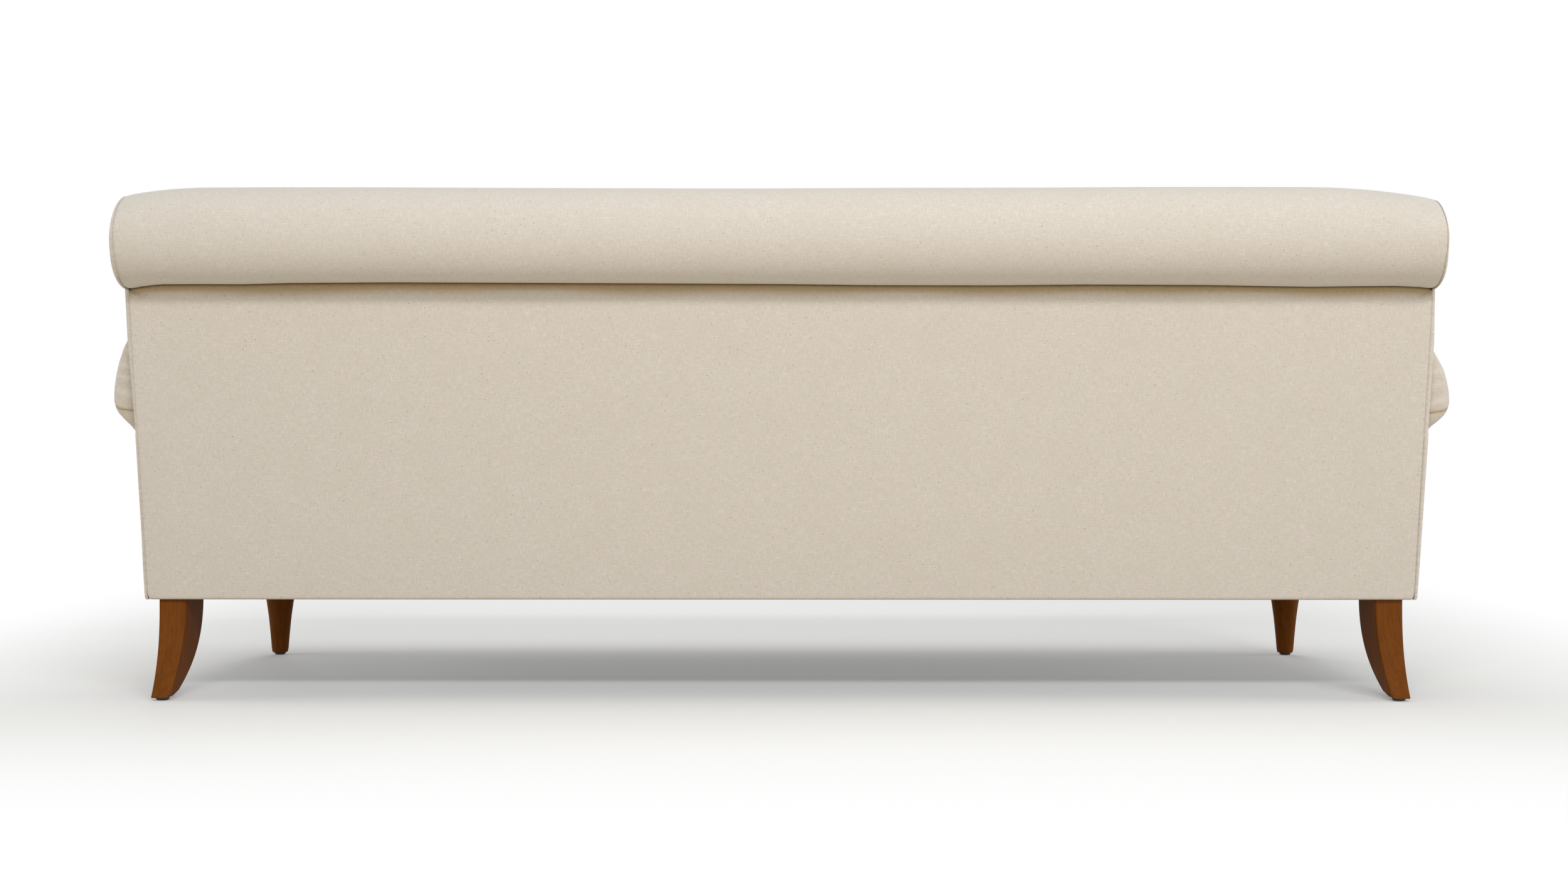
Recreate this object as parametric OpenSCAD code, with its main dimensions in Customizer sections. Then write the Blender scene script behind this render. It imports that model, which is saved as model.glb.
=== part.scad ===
// Three-seat sofa with a tight back that ends in a thick roll, low set-back rolled arms,
// three loose seat cushions, sabre rear legs and turned front legs.
// Millimetres. X runs along the sofa, the seat faces -Y and the roll is at +Y, Z is up.
// The origin is on the floor under the middle of the sofa. Right is the +X side.

/* [Overall] */
// Width over the outside arm panels, below the arm rolls
body_w = 2166; // [1500:2:2600]
// Depth from the front of the seat cushions to the rear of the back roll
body_d = 890; // [860:2:960]
// Height to the top of the back roll
body_h = 850; // [820:2:900]
// Height of the underside above the floor
under_h = 167; // [140:1:190]

/* [Back] */
// Diameter of the roll along the top of the back
roll_d = 160; // [140:1:180]
// How far in front of the roll's axis the outside back meets the roll
crease_set = 9; // [0:0.5:12]
// Lean of the outside back
back_rake = 11; // [8:0.5:13]
// Lean of the inside back
inside_rake = 14; // [12:0.5:17]
// Radius over which the inside back turns into the roll
shoulder_r = 110; // [95:1:120]
// How far each end seam of the back stands in from the outside arm panel
end_set = 16; // [12:1:24]
// How far the padded end panels swell beyond their seams
end_swell = 12; // [6:1:12]

/* [Arms] */
// Height to the top of the arm rolls
arm_h = 642; // [600:2:660]
// Width of an arm roll
arm_w = 174; // [160:2:190]
// Height of the roll from its widest line to its top
arm_crown_h = 142; // [120:2:150]
// How far the arm roll overhangs the outside arm panel
arm_overhang = 38; // [30:1:45]
// Height over which the underside of the roll tucks back to the outside arm panel
tuck_h = 57; // [45:1:65]
// How far the arms stand back from the front border
arm_set = 130; // [110:2:160]
// How far the rear end of an arm roll stops short of the outside back
arm_tail_set = 26; // [20:1:34]

/* [Seat] */
// Height of the seat deck, which the cushions lie on
deck_h = 345; // [330:1:360]
// How far the cushions reach over the front border
nose = 12; // [8:1:20]
// Height of a cushion's sides, seam to seam
boxing_h = 96; // [84:1:110]
// Height of the lower seam above the deck
lower_seam_h = 13; // [10:1:18]
// Rise of the crown above the upper seam
crown_h = 34; // [20:1:44]
// Distance over which the crown rises
crown_run = 210; // [150:5:260]
// How far the sides of a cushion swell beyond its seams
side_swell = 5; // [3:1:8]
// How far the long sides are drawn in between the corners
draw_in = 5; // [2:1:8]
// Gap between cushions, and from a cushion to the arms and back
cushion_gap = 1.6; // [1:0.2:3]
// Radius of the padded front edge
edge_r = 18; // [12:1:24]
// How far the front border's cloth reaches back over the deck
lip_d = 110; // [90:1:140]

/* [Cloth and padding] */
// Thickness of the upholstery cloth with its lining
cloth_t = 2; // [1.5:0.5:3]
// Thickness of the wadding on outside panels
wadding_t = 6; // [4:1:9]
// Thickness of the padding behind an arm facing
facing_pad_t = 10; // [6:1:14]
// Depth of the foam edge along the front rail
edge_pad_d = 40; // [30:1:46]
// Thickness of the dust cover
dust_t = 1; // [0.8:0.1:1.5]

/* [Frame timber] */
// Thickness of the seat rails and arm rails
board_t = 25; // [20:1:30]
// Height of the springs and padding above the seat rails
seat_build_h = 47; // [42:1:56]
// Thickness of the arm front boards
arm_board_t = 20; // [15:1:24]
// Width of a back post and of an arm stump, along the sofa
post_w = 30; // [25:1:36]
// Depth of a back post, front to rear
post_d = 55; // [48:1:58]
// Depth of a back rib
rib_d = 30; // [25:1:32]
// Height of the top rail inside the roll
top_rail_h = 70; // [50:1:76]
// Height of the lower back rail
low_rail_h = 60; // [40:1:80]
// Depth of an arm stump
stump_d = 60; // [45:1:66]
// Width of an arm top rail
arm_rail_w = 70; // [60:1:76]
// Height of the side rails of an arm
arm_slat_h = 40; // [30:1:46]
// Width of a seat stretcher
stretcher_w = 40; // [30:1:50]
// Height of a seat stretcher
stretcher_h = 60; // [40:1:80]
// Size of a corner block along the sofa
block_w = 90; // [80:1:110]
// Size of a corner block front to rear
block_d = 80; // [70:1:90]
// Height of a corner block
block_h = 40; // [30:1:50]

/* [Springs and webbing] */
// Number of seat springs
springs = 14; // [8:1:17]
// Wire thickness of a seat spring
wire_d = 3.8; // [3.2:0.1:4.2]
// Width of a spring's zigzag
zigzag_w = 48; // [40:1:56]
// Number of full waves in a spring
waves = 11; // [8:1:13]
// Thickness of a spring clip
clip_t = 1.5; // [1:0.1:2]
// Width of a spring clip
clip_w = 22; // [16:1:30]
// Thickness of a tie wire
tie_d = 3; // [2.4:0.1:3.6]
// Width of a webbing strap
strap_w = 50; // [40:1:60]
// Thickness of a webbing strap
strap_t = 2.5; // [2:0.1:3]
// Number of upright straps in the back
straps = 11; // [7:1:15]

/* [Legs] */
// Distance from the outside arm panel to a rear leg
leg_side_set = 22; // [14:1:30]
// Distance from the outside back to a rear leg
leg_rear_set = 10; // [6:1:16]
// Width of a rear leg at the top
leg_w = 48; // [44:1:54]
// Width of a rear leg at the foot
leg_foot_w = 31; // [28:1:36]
// Depth of a rear leg at the top
leg_d = 96; // [88:1:104]
// Depth of a rear leg at the foot
leg_foot_d = 34; // [30:1:40]
// How far the foot sweeps back beyond the top
leg_kick = 52; // [40:1:60]
// How late the rear face of a rear leg turns back, as a power of the way down
leg_rear_curve = 2.2; // [1.8:0.1:2.6]
// How late a rear leg grows thinner from front to back, as a power of the way down
leg_depth_curve = 3.6; // [2.8:0.1:4.2]
// How late a rear leg grows narrower, as a power of the way down
leg_width_curve = 1.7; // [1.3:0.1:2]
// Distance from the rear face of a rear leg to its bolt
leg_bolt_set = 43; // [38:1:50]
// Slanted cut on the inner side of the foot
foot_cut = 7; // [4:1:9]
// Diameter of a front leg at the top
front_leg_d = 66; // [56:1:72]
// Distance from the outside panels to a front leg's axis
front_leg_set = 55; // [48:1:62]
// Diameter of a glide
glide_d = 22; // [18:1:25]
// Thickness of a glide
glide_h = 5; // [4:0.5:6]
// Diameter of a leg bolt
bolt_d = 8; // [6:1:10]
// How far a leg bolt reaches into the leg
bolt_depth = 30; // [24:1:40]
// Outside diameter of a threaded insert's barrel
insert_d = 11; // [10:0.5:13]
// Diameter of a threaded insert's flange
insert_flange_d = 22; // [18:1:26]
// Thickness of a threaded insert's flange
insert_flange_t = 2; // [1.5:0.5:3]

/* [Hidden] */
sides = ["left", "right"];
$fn = 64;
linen = "#d6cec2";
wadding = "#efece4";
foam = "#ece2b8";
timber = "#d8b98a";
walnut = "#6e431c";
steel = "#a9adb0";
black_cloth = "#2b2b2d";
jute = "#b79a6a";
dark_plastic = "#26262a";
// Clearance between a loose piece and what it lies on
clear = 0.3;
// Clearance between layers that meet along a slope
snug = 0.05;
// Overrun of every cut
over = 1;

// Main planes
side_x = body_w / 2;
front_y = -body_d / 2 + nose;
roll_r = roll_d / 2;
roll_y = body_d / 2 - roll_r;
roll_z = body_h - roll_r;
crease_y = roll_y - crease_set;
crease_z = roll_z - sqrt(roll_r * roll_r - crease_set * crease_set);
rail_z = under_h + dust_t;
rail_top_z = deck_h - seat_build_h;
end_x = side_x - end_set;
end_cap_x = end_x + end_swell;

// Y of the outside back at a height
function outside_y(z) = crease_y - (crease_z - z) * tan(back_rake);

// Y of the inside back at a height, below the shoulder
shoulder_y = roll_y - shoulder_r * cos(inside_rake);
shoulder_z = body_h - shoulder_r + shoulder_r * sin(inside_rake);
function inside_y(z) = shoulder_y - (shoulder_z - z) * tan(inside_rake);

// Set-backs of the back's layers from the outside back, measured along Y
back_cloth_set = cloth_t / cos(back_rake);
post_rear_set = back_cloth_set + wadding_t + snug;
post_front_set = post_rear_set + post_d;
web_rear_set = post_front_set + snug;
web_front_set = web_rear_set + 2 * strap_t + snug;

// Arm section
arm_a = arm_w / 2;
arm_x = side_x + arm_overhang - arm_a;
arm_in_x = arm_x - arm_a;
arm_z = arm_h - arm_crown_h;
tuck_z = arm_z - tuck_h;
arm_y = front_y + arm_set;
arm_board_y = arm_y + cloth_t + facing_pad_t;
arm_frame_y = arm_board_y + arm_board_t;
arm_board_set = cloth_t + facing_pad_t;
// Shares of the overhang and of the tuck's height, along the underside of the roll
tuck_shares = [[0.58, 0.6], [0.21, 0.32], [0.05, 0.17], [0, 0]];

// Timber places
side_rail_x = side_x - cloth_t - wadding_t;
post_x = side_rail_x - board_t;
front_rail_y = front_y + cloth_t + wadding_t;
rear_rail_y = outside_y(rail_z) - post_rear_set - board_t;
top_rail_z = crease_z + top_rail_h;
low_rail_z = rail_top_z + board_t;
arm_rail_top_share = 0.81;
arm_rail_z = arm_z + arm_crown_h * arm_rail_top_share;
arm_rail_in_x = arm_x - arm_rail_w / 2;
stump_y = inside_y(rail_z) - stump_d - wadding_t;

// Seat levels
deck_cloth_z = deck_h - cloth_t;
spring_z = rail_top_z + clip_t;
clip_top_z = spring_z + wire_d + clip_t;
deck_pad_z = clip_top_z;

// Leg places
leg_x = side_x - leg_side_set - leg_w / 2;
leg_rear_y = outside_y(under_h) - leg_rear_set;
front_leg_x = side_x - front_leg_set;
front_leg_y = front_y + front_leg_set;
rear_block_y = rear_rail_y - block_d;
rear_bolt_y = leg_rear_y - leg_bolt_set;
front_block_y = front_rail_y + board_t;
block_top_z = rail_z + block_h;
bolt_places = [[leg_x, rear_bolt_y], [front_leg_x, front_leg_y]];
block_x = post_x - block_w;

// Puts a YZ outline along X between two places
module along_x(x0, x1) {
    translate([x0, 0, 0]) rotate([90, 0, 90]) linear_extrude(x1 - x0) children();
}

// Puts an XZ outline along Y between two places
module along_y(y0, y1) {
    translate([0, y1, 0]) rotate([90, 0, 0]) linear_extrude(y1 - y0) children();
}

// A box between two corners
module box(a, b) {
    translate(a) cube(b - a);
}

// Right-hand shape as it is, or mirrored to the left
module side(name) {
    if (name == "left") mirror([1, 0, 0]) children();
    else children();
}

module both_sides() {
    for (name = sides) side(name) children();
}

function arc(c, r, a0, a1, n) = [
    for (i = [0 : n]) let (a = a0 + (a1 - a0) * i / n) c + r * [cos(a), sin(a)]
];

function reversed(list) = [for (i = [len(list) - 1 : -1 : 0]) list[i]];

// Strip that follows the lean of the outside back between two set-backs and two heights
function leaning(set0, set1, z0, z1) = [
    [outside_y(z0) - set0, z0], [outside_y(z1) - set0, z1],
    [outside_y(z1) - set1, z1], [outside_y(z0) - set1, z0]
];

// Section of the back
arc_steps = 26;
shoulder_steps = 8;

// The roll and the inside back, from the crease over the top down to a height, set in by t
function crease_angle(t) = -90 - asin((crease_set + t / cos(back_rake)) / (roll_r - t));
function roll_path(t, z) = concat(
    arc([roll_y, roll_z], roll_r - t, crease_angle(t), 90, arc_steps),
    arc([roll_y, body_h - shoulder_r], shoulder_r - t, 90, 180 - inside_rake, shoulder_steps),
    [[inside_y(z) + t / cos(inside_rake), z]]
);

// Full section of the roll's filling, which shares its rear half with the cloth
function core_outline(t) = concat(
    arc([roll_y, roll_z], roll_r - t, crease_angle(t), 90, arc_steps),
    arc([roll_y, roll_z], roll_r - t, 90, 360 + crease_angle(t), arc_steps)
);

// The whole section of the back above a height, set in by t
function back_outline(t, z) = concat(
    [[outside_y(z) - t / cos(back_rake), z]], roll_path(t, z)
);

// Room that the back takes behind its inside face, from the left up to a place on the right
module back_room(x1) {
    z0 = under_h;
    z1 = body_h;
    along_x(-side_x - over, x1) polygon([
        [inside_y(z0) - snug, z0], [inside_y(z1) - snug, z1], [body_d, z1], [body_d, z0]
    ]);
}

// Frame
module front_rail() {
    color(timber)
    box([-post_x, front_rail_y, rail_z], [post_x, front_rail_y + board_t, rail_top_z]);
}

module rear_rail() {
    color(timber)
    box([-post_x + post_w, rear_rail_y, rail_z],
        [post_x - post_w, rear_rail_y + board_t, rail_top_z]);
}

module side_rail(name) {
    color(timber) side(name)
    box([post_x, front_rail_y, rail_z], [side_rail_x, rear_rail_y + board_t, rail_top_z]);
}

module seat_stretchers() {
    color(timber)
    for (share = [-1 / 3, 0, 1 / 3])
        translate([share * arm_in_x * 2, 0, 0])
        box([-stretcher_w / 2, front_rail_y + board_t, rail_z],
            [stretcher_w / 2, rear_rail_y, rail_z + stretcher_h]);
}

module corner_blocks() {
    color(timber) both_sides() difference() {
        union() {
            box([block_x, rear_block_y, rail_z], [post_x, rear_rail_y, block_top_z]);
            box([block_x, front_block_y, rail_z],
                [post_x, front_block_y + block_d, block_top_z]);
        }
        for (place = bolt_places) translate([place[0], place[1], rail_z]) {
            translate([0, 0, -over]) cylinder(d = bolt_d, h = block_h);
            translate([0, 0, block_h / 2]) cylinder(d = insert_d, h = block_h);
            translate([0, 0, block_h - insert_flange_t])
                cylinder(d = insert_flange_d, h = block_h);
        }
    }
}

module back_post(name) {
    color(timber) side(name)
    along_x(post_x - post_w, post_x)
    polygon(leaning(post_rear_set, post_front_set, block_top_z, top_rail_z));
}

module back_ribs() {
    rib_x = post_x / 3;
    color(timber) both_sides()
    along_x(rib_x - post_w / 2, rib_x + post_w / 2)
    polygon(leaning(post_front_set - board_t - rib_d, post_front_set - board_t,
        low_rail_z, crease_z));
}

module back_low_rail() {
    color(timber)
    along_x(-post_x + post_w, post_x - post_w)
    polygon(leaning(post_front_set - board_t, post_front_set, low_rail_z,
        low_rail_z + low_rail_h));
}

module back_top_rail() {
    color(timber)
    along_x(-post_x + post_w, post_x - post_w)
    polygon(leaning(post_rear_set, post_front_set, crease_z, top_rail_z));
}

// Arm section, set in by t
arm_steps = 28;
function arm_outline(t) = concat(
    [[arm_in_x + t, rail_top_z]],
    [for (i = [0 : arm_steps]) let (a = 180 - 180 * i / arm_steps)
        [arm_x + (arm_a - t) * cos(a), arm_z + (arm_crown_h - t) * sin(a)]],
    [for (p = tuck_shares) [side_x + arm_overhang * p[0] - t, tuck_z + tuck_h * p[1] + t * p[0]]],
    [[side_x - t, rail_top_z]]
);

// Space behind the rear end of the arm rolls, set forward by t
module behind_arms(t) {
    z0 = rail_z;
    z1 = body_h;
    set = arm_tail_set + t;
    along_x(arm_in_x - over, side_x + arm_overhang + over)
    polygon([
        [outside_y(z0) - set, z0], [outside_y(z1) - set, z1], [body_d, z1], [body_d, z0]
    ]);
}

// Space of the outside arm panel below the tuck
module panel_room(t) {
    box([side_rail_x, arm_y - over, rail_top_z - over],
        [side_x + over, body_d / 2, tuck_z + t]);
}

module arm_front_boards() {
    color(timber) both_sides()
    along_y(arm_board_y, arm_frame_y) intersection() {
        polygon(arm_outline(arm_board_set));
        translate([0, rail_top_z]) square([side_rail_x + arm_overhang, arm_h]);
    }
}

module arm_stumps() {
    color(timber) both_sides()
    box([post_x - post_w, stump_y, rail_z], [post_x, stump_y + stump_d, arm_rail_z - board_t]);
}

module arm_top_rails() {
    color(timber) both_sides() difference() {
        box([arm_rail_in_x, arm_frame_y, arm_rail_z - board_t],
            [arm_rail_in_x + arm_rail_w, body_d / 2, arm_rail_z]);
        back_room(side_x);
    }
}

module arm_slats(name) {
    color(timber) side(name) difference() {
        union() {
            box([post_x - post_w - arm_board_t, arm_frame_y, deck_h],
                [post_x - post_w, body_d / 2, deck_h + arm_slat_h]);
            box([post_x, arm_frame_y, tuck_z], [side_rail_x, body_d / 2, tuck_z + arm_slat_h]);
        }
        back_room(side_x);
    }
}

// Springs and webbing
spring_pitch = 2 * post_x / (springs + 1);
spring_front_y = front_rail_y + board_t / 2;
spring_rear_y = rear_rail_y + board_t / 2;
wave_steps = 10;

// Centre line of a zigzag: x swings in rounded waves, y runs evenly
function swing(i) = zigzag_w / 2 * sin(360 * i / wave_steps);
function swing_slope(i) =
    zigzag_w / 2 * cos(360 * i / wave_steps) * 2 * PI * waves / (spring_rear_y - spring_front_y);
function zigzag_point(i, s) =
    let (
        m = swing_slope(i),
        y = spring_front_y + (spring_rear_y - spring_front_y) * i / (waves * wave_steps),
        n = sqrt(1 + m * m)
    )
    [swing(i) + s * wire_d / 2 / n, y - s * wire_d / 2 * m / n];

module seat_springs() {
    color(steel)
    for (k = [1 : springs])
        translate([-post_x + k * spring_pitch, 0, spring_z])
        linear_extrude(wire_d)
        polygon(concat(
            [for (i = [0 : waves * wave_steps]) zigzag_point(i, 1)],
            [for (i = [waves * wave_steps : -1 : 0]) zigzag_point(i, -1)]
        ));
}

// A clip is a strip folded over the end of a spring
module spring_clips() {
    z1 = spring_z + wire_d;
    d = board_t / 2 - clip_t;
    fold = wire_d / 2;
    color(steel)
    for (k = [1 : springs])
        translate([-post_x + k * spring_pitch, 0, 0]) {
            along_x(-clip_w / 2, clip_w / 2)
            translate([spring_front_y, 0]) polygon([
                [d, rail_top_z], [-fold - clip_t, rail_top_z], [-fold - clip_t, clip_top_z],
                [d, clip_top_z], [d, z1], [-fold, z1], [-fold, spring_z], [d, spring_z]
            ]);
            along_x(-clip_w / 2, clip_w / 2)
            translate([spring_rear_y, 0]) polygon([
                [-d, rail_top_z], [fold + clip_t, rail_top_z], [fold + clip_t, clip_top_z],
                [-d, clip_top_z], [-d, z1], [fold, z1], [fold, spring_z], [-d, spring_z]
            ]);
        }
}

module spring_tie_wires() {
    end = post_x - spring_pitch + zigzag_w / 2;
    color(steel)
    for (share = [0.25, 0.5, 0.75])
        translate([-end, spring_front_y + (spring_rear_y - spring_front_y) * share,
            spring_z - tie_d / 2])
        rotate([0, 90, 0]) cylinder(d = tie_d, h = 2 * end);
}

module back_webbing() {
    pitch = 2 * (post_x - post_w) / straps;
    cross_z = low_rail_z + low_rail_h;
    cross_pitch = (crease_z - cross_z) / 3;
    color(jute) {
        for (k = [0 : straps - 1])
            translate([-(straps - 1) / 2 * pitch + k * pitch, 0, 0])
            along_x(-strap_w / 2, strap_w / 2)
            polygon(leaning(web_rear_set, web_rear_set + strap_t, low_rail_z,
                crease_z + strap_w));
        for (k = [0 : 2])
            along_x(-post_x, post_x)
            polygon(leaning(web_front_set - strap_t, web_front_set,
                cross_z + (k + 0.5) * cross_pitch - strap_w / 2,
                cross_z + (k + 0.5) * cross_pitch + strap_w / 2));
    }
}

// Front edge of the seat: an upright border that turns over a rounded edge, set in by t
function border_outline(t, y1, z0) = concat(
    [[front_y + t, z0]],
    arc([front_y + edge_r, deck_h - edge_r], edge_r - t, 180, 90, 8),
    [[y1, deck_h - t], [y1, z0]]
);

module seat_edge_roll() {
    color(foam) along_x(-side_rail_x, side_rail_x)
    polygon(border_outline(cloth_t, front_y + edge_pad_d, clip_top_z));
}

module front_border_wadding() {
    color(wadding)
    box([-side_rail_x, front_y + cloth_t, rail_z], [side_rail_x, front_rail_y, clip_top_z]);
}

module front_border_cover() {
    inner = side_x - cloth_t;
    y1 = front_y + lip_d;
    color(linen) along_x(-inner, inner) difference() {
        polygon(border_outline(0, y1, under_h));
        polygon(border_outline(cloth_t, y1 + over, under_h - over));
    }
}

// Deck: between the arms, with ears in front of them
module deck_plan(y0, side_in) {
    polygon([
        [-side_in, y0], [side_in, y0], [side_in, arm_y], [arm_in_x, arm_y],
        [arm_in_x, body_d / 2], [-arm_in_x, body_d / 2], [-arm_in_x, arm_y], [-side_in, arm_y]
    ]);
}

module deck_pad() {
    color(foam) difference() {
        translate([0, 0, deck_pad_z]) linear_extrude(deck_cloth_z - deck_pad_z)
            deck_plan(front_y + edge_pad_d, side_rail_x);
        back_room(side_x);
    }
}

module deck_cloth() {
    color(linen) difference() {
        translate([0, 0, deck_cloth_z]) linear_extrude(cloth_t)
            deck_plan(front_y + lip_d, side_x - cloth_t);
        back_room(side_x);
    }
}

module dust_cover() {
    inner = side_x - cloth_t;
    color(black_cloth) difference() {
        box([-inner, front_y + cloth_t, under_h],
            [inner, outside_y(under_h) - back_cloth_set, rail_z]);
        both_sides() for (place = bolt_places)
            translate([place[0], place[1], under_h - over])
            cylinder(d = bolt_d, h = dust_t + 2 * over);
    }
}

// Upholstery of the back
module back_pad() {
    color(foam) along_x(-end_x, end_x) difference() {
        polygon(back_outline(cloth_t, deck_pad_z));
        polygon(core_outline(cloth_t));
        polygon(leaning(-body_d, web_front_set + snug, rail_z, body_h));
    }
}

module back_roll_core() {
    color(foam) difference() {
        along_x(-end_x, end_x) intersection() {
            polygon(core_outline(cloth_t));
            polygon(back_outline(cloth_t, deck_pad_z));
        }
        along_x(-post_x, post_x)
        polygon(leaning(post_rear_set - snug, post_front_set + snug, crease_z - roll_r,
            top_rail_z));
        along_x(-post_x, post_x)
        polygon(leaning(post_front_set - over, web_front_set + snug, crease_z - roll_r,
            crease_z + strap_w));
    }
}

module inside_back_cover() {
    color(linen) along_x(-end_x, end_x)
    polygon(concat(roll_path(0, deck_pad_z), reversed(roll_path(cloth_t, deck_pad_z))));
}

// The outside back widens downwards from the end seams to the outside arm panels
module outside_back_panel(set0, set1, z0) {
    foot_x = side_x - cloth_t;
    top_x = (end_x + end_cap_x) / 2;
    intersection() {
        along_x(-foot_x, foot_x) polygon(leaning(set0, set1, z0, crease_z));
        along_y(0, body_d / 2) polygon([
            [-foot_x, under_h], [foot_x, under_h], [top_x, crease_z], [-top_x, crease_z]
        ]);
    }
}

module outside_back_cover() {
    color(linen) outside_back_panel(0, back_cloth_set, under_h);
}

module outside_back_wadding() {
    color(wadding) outside_back_panel(back_cloth_set + snug, post_rear_set - snug, rail_z);
}

// End of the back above the outside arm panel: rings that close in as they swell
end_swell_shares = [0, 0.5, 0.9, 1];
end_inset_shares = [0, 0.15, 0.6, 1];
end_inset = 1.6 * end_swell;
// A point in the neck of the end, from which every point of its outline is in view
neck_share = 0.3;

module back_end(t) {
    rings = [for (i = [0 : len(end_swell_shares) - 1])
        let (inset = t + end_inset * end_inset_shares[i])
        [for (p = back_outline(inset, tuck_z))
            [end_x + (end_swell - t) * end_swell_shares[i], p[0], p[1]]]];
    n = len(rings[0]);
    last = len(rings) - 1;
    base = last * n + n;
    neck = [roll_y - roll_r * neck_share, roll_z - roll_r / 2];
    polyhedron(
        points = [
            for (ring = rings) each ring,
            [rings[0][0][0], neck[0], neck[1]],
            [rings[last][0][0], neck[0], neck[1]]
        ],
        faces = concat(
            [for (i = [0 : n - 1]) [i, (i + 1) % n, base]],
            [for (k = [0 : last - 1], i = [0 : n - 1])
                [k * n + (i + 1) % n, k * n + i, (k + 1) * n + i]],
            [for (k = [0 : last - 1], i = [0 : n - 1])
                [(k + 1) * n + (i + 1) % n, k * n + (i + 1) % n, (k + 1) * n + i]],
            [for (i = [0 : n - 1]) [last * n + (i + 1) % n, last * n + i, base + 1]]
        )
    );
}

module back_end_pads() {
    color(wadding) both_sides() difference() {
        back_end(cloth_t);
        outside_back_panel(-over, post_rear_set, rail_z);
    }
}

module back_end_panel(name) {
    color(linen) side(name) difference() {
        back_end(0);
        back_end(cloth_t);
        along_x(end_x - over, end_x) polygon(back_outline(cloth_t, tuck_z));
        outside_back_panel(-over, post_rear_set, rail_z);
    }
}

// Upholstery of the arms
module arm_pad(name) {
    color(foam) side(name) difference() {
        along_y(arm_board_y, body_d / 2) polygon(arm_outline(cloth_t));
        along_y(arm_board_y - over, arm_frame_y) polygon(arm_outline(arm_board_set));
        box([arm_rail_in_x, arm_frame_y - over, rail_z],
            [arm_rail_in_x + arm_rail_w, body_d, arm_rail_z]);
        box([post_x - post_w - arm_board_t, arm_board_y - over, rail_z],
            [side_rail_x, body_d, tuck_z + arm_slat_h]);
        panel_room(0);
        behind_arms(cloth_t);
        back_room(end_cap_x + snug);
    }
}

module arm_cover(name) {
    color(linen) side(name) difference() {
        along_y(arm_y + cloth_t, body_d / 2) polygon(arm_outline(0));
        difference() {
            along_y(arm_y, body_d / 2) {
                polygon(arm_outline(cloth_t));
                translate([arm_in_x + cloth_t, rail_z])
                    square([side_x - arm_in_x - 2 * cloth_t, rail_top_z - rail_z + over]);
            }
            behind_arms(cloth_t);
        }
        panel_room(0);
        behind_arms(0);
        back_room(end_cap_x + snug);
    }
}

module arm_facing(name) {
    color(linen) side(name)
    along_y(arm_y, arm_y + cloth_t) difference() {
        polygon(arm_outline(0));
        translate([side_rail_x, rail_top_z - over])
            square([side_x, tuck_z - rail_top_z + over]);
    }
}

module arm_facing_pads() {
    color(wadding) both_sides()
    along_y(arm_y + cloth_t, arm_board_y) difference() {
        polygon(arm_outline(cloth_t));
        translate([side_rail_x, rail_top_z - over])
            square([side_x, tuck_z - rail_top_z + over]);
    }
}

// Side of the base and lower arm, set in by t
function side_outline(t, z0) = concat(
    [[front_y + t, z0]],
    arc([front_y + edge_r, deck_h - edge_r], edge_r - t, 180, 90, 8),
    [[arm_y, deck_h - t], [arm_y, tuck_z], [outside_y(tuck_z) - t / cos(back_rake), tuck_z],
        [outside_y(z0) - t / cos(back_rake), z0]]
);

module outside_arm_cover(name) {
    color(linen) side(name)
    along_x(side_x - cloth_t, side_x) polygon(side_outline(0, under_h));
}

module outside_arm_wadding() {
    color(wadding) both_sides()
    along_x(side_rail_x, side_x - cloth_t) difference() {
        polygon(side_outline(cloth_t, rail_z));
        polygon(leaning(0, post_rear_set, under_h, body_h));
    }
}

// Rear leg: a side profile that sweeps back, cut to a front profile that tapers
leg_steps = 12;
function leg_share(i) = i / leg_steps;
function leg_rear(s) = leg_rear_y + leg_kick * pow(s, leg_rear_curve);
function leg_front(s) =
    leg_rear(s) - leg_d + (leg_d - leg_foot_d) * pow(s, leg_depth_curve);
function leg_level(s) = under_h - (under_h - glide_h) * s;
function leg_half(s) = leg_w / 2 - (leg_w - leg_foot_w) / 2 * pow(s, leg_width_curve);

module rear_leg(name) {
    color(walnut) side(name) difference() {
        intersection() {
            along_x(leg_x - leg_w, leg_x + leg_w) polygon(concat(
                [for (i = [0 : leg_steps]) [leg_rear(leg_share(i)), leg_level(leg_share(i))]],
                [for (i = [leg_steps : -1 : 0]) [leg_front(leg_share(i)), leg_level(leg_share(i))]]
            ));
            along_y(leg_rear_y - 2 * leg_d, leg_rear_y + 2 * leg_kick) difference() {
                polygon(concat(
                    [for (i = [0 : leg_steps])
                        [leg_x + leg_half(leg_share(i)), leg_level(leg_share(i))]],
                    [for (i = [leg_steps : -1 : 0])
                        [leg_x - leg_half(leg_share(i)), leg_level(leg_share(i))]]
                ));
                translate([leg_x - leg_half(1), glide_h]) rotate([0, 0, 45])
                    square([foot_cut, 2 * foot_cut], center = true);
            }
        }
        translate([leg_x, rear_bolt_y, under_h - bolt_depth])
            cylinder(d = bolt_d, h = bolt_depth + over);
    }
}

// Front leg: a turned profile, in shares of its largest radius and of its height
front_leg_shares = [
    [0.44, 0], [0.5, 0.04], [0.56, 0.2], [0.68, 0.45], [0.8, 0.62], [0.86, 0.7],
    [0.78, 0.74], [0.78, 0.77], [0.94, 0.8], [1, 0.84], [1, 0.88], [0.92, 0.92],
    [0.92, 1]
];

module front_leg(name) {
    r = front_leg_d / 2;
    h = under_h - glide_h;
    color(walnut) side(name) translate([front_leg_x, front_leg_y, glide_h]) difference() {
        rotate_extrude() polygon(concat(
            [[0, 0]], [for (p = front_leg_shares) [r * p[0], h * p[1]]], [[0, h]]
        ));
        translate([0, 0, h - bolt_depth]) cylinder(d = bolt_d, h = bolt_depth + over);
    }
}

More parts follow.
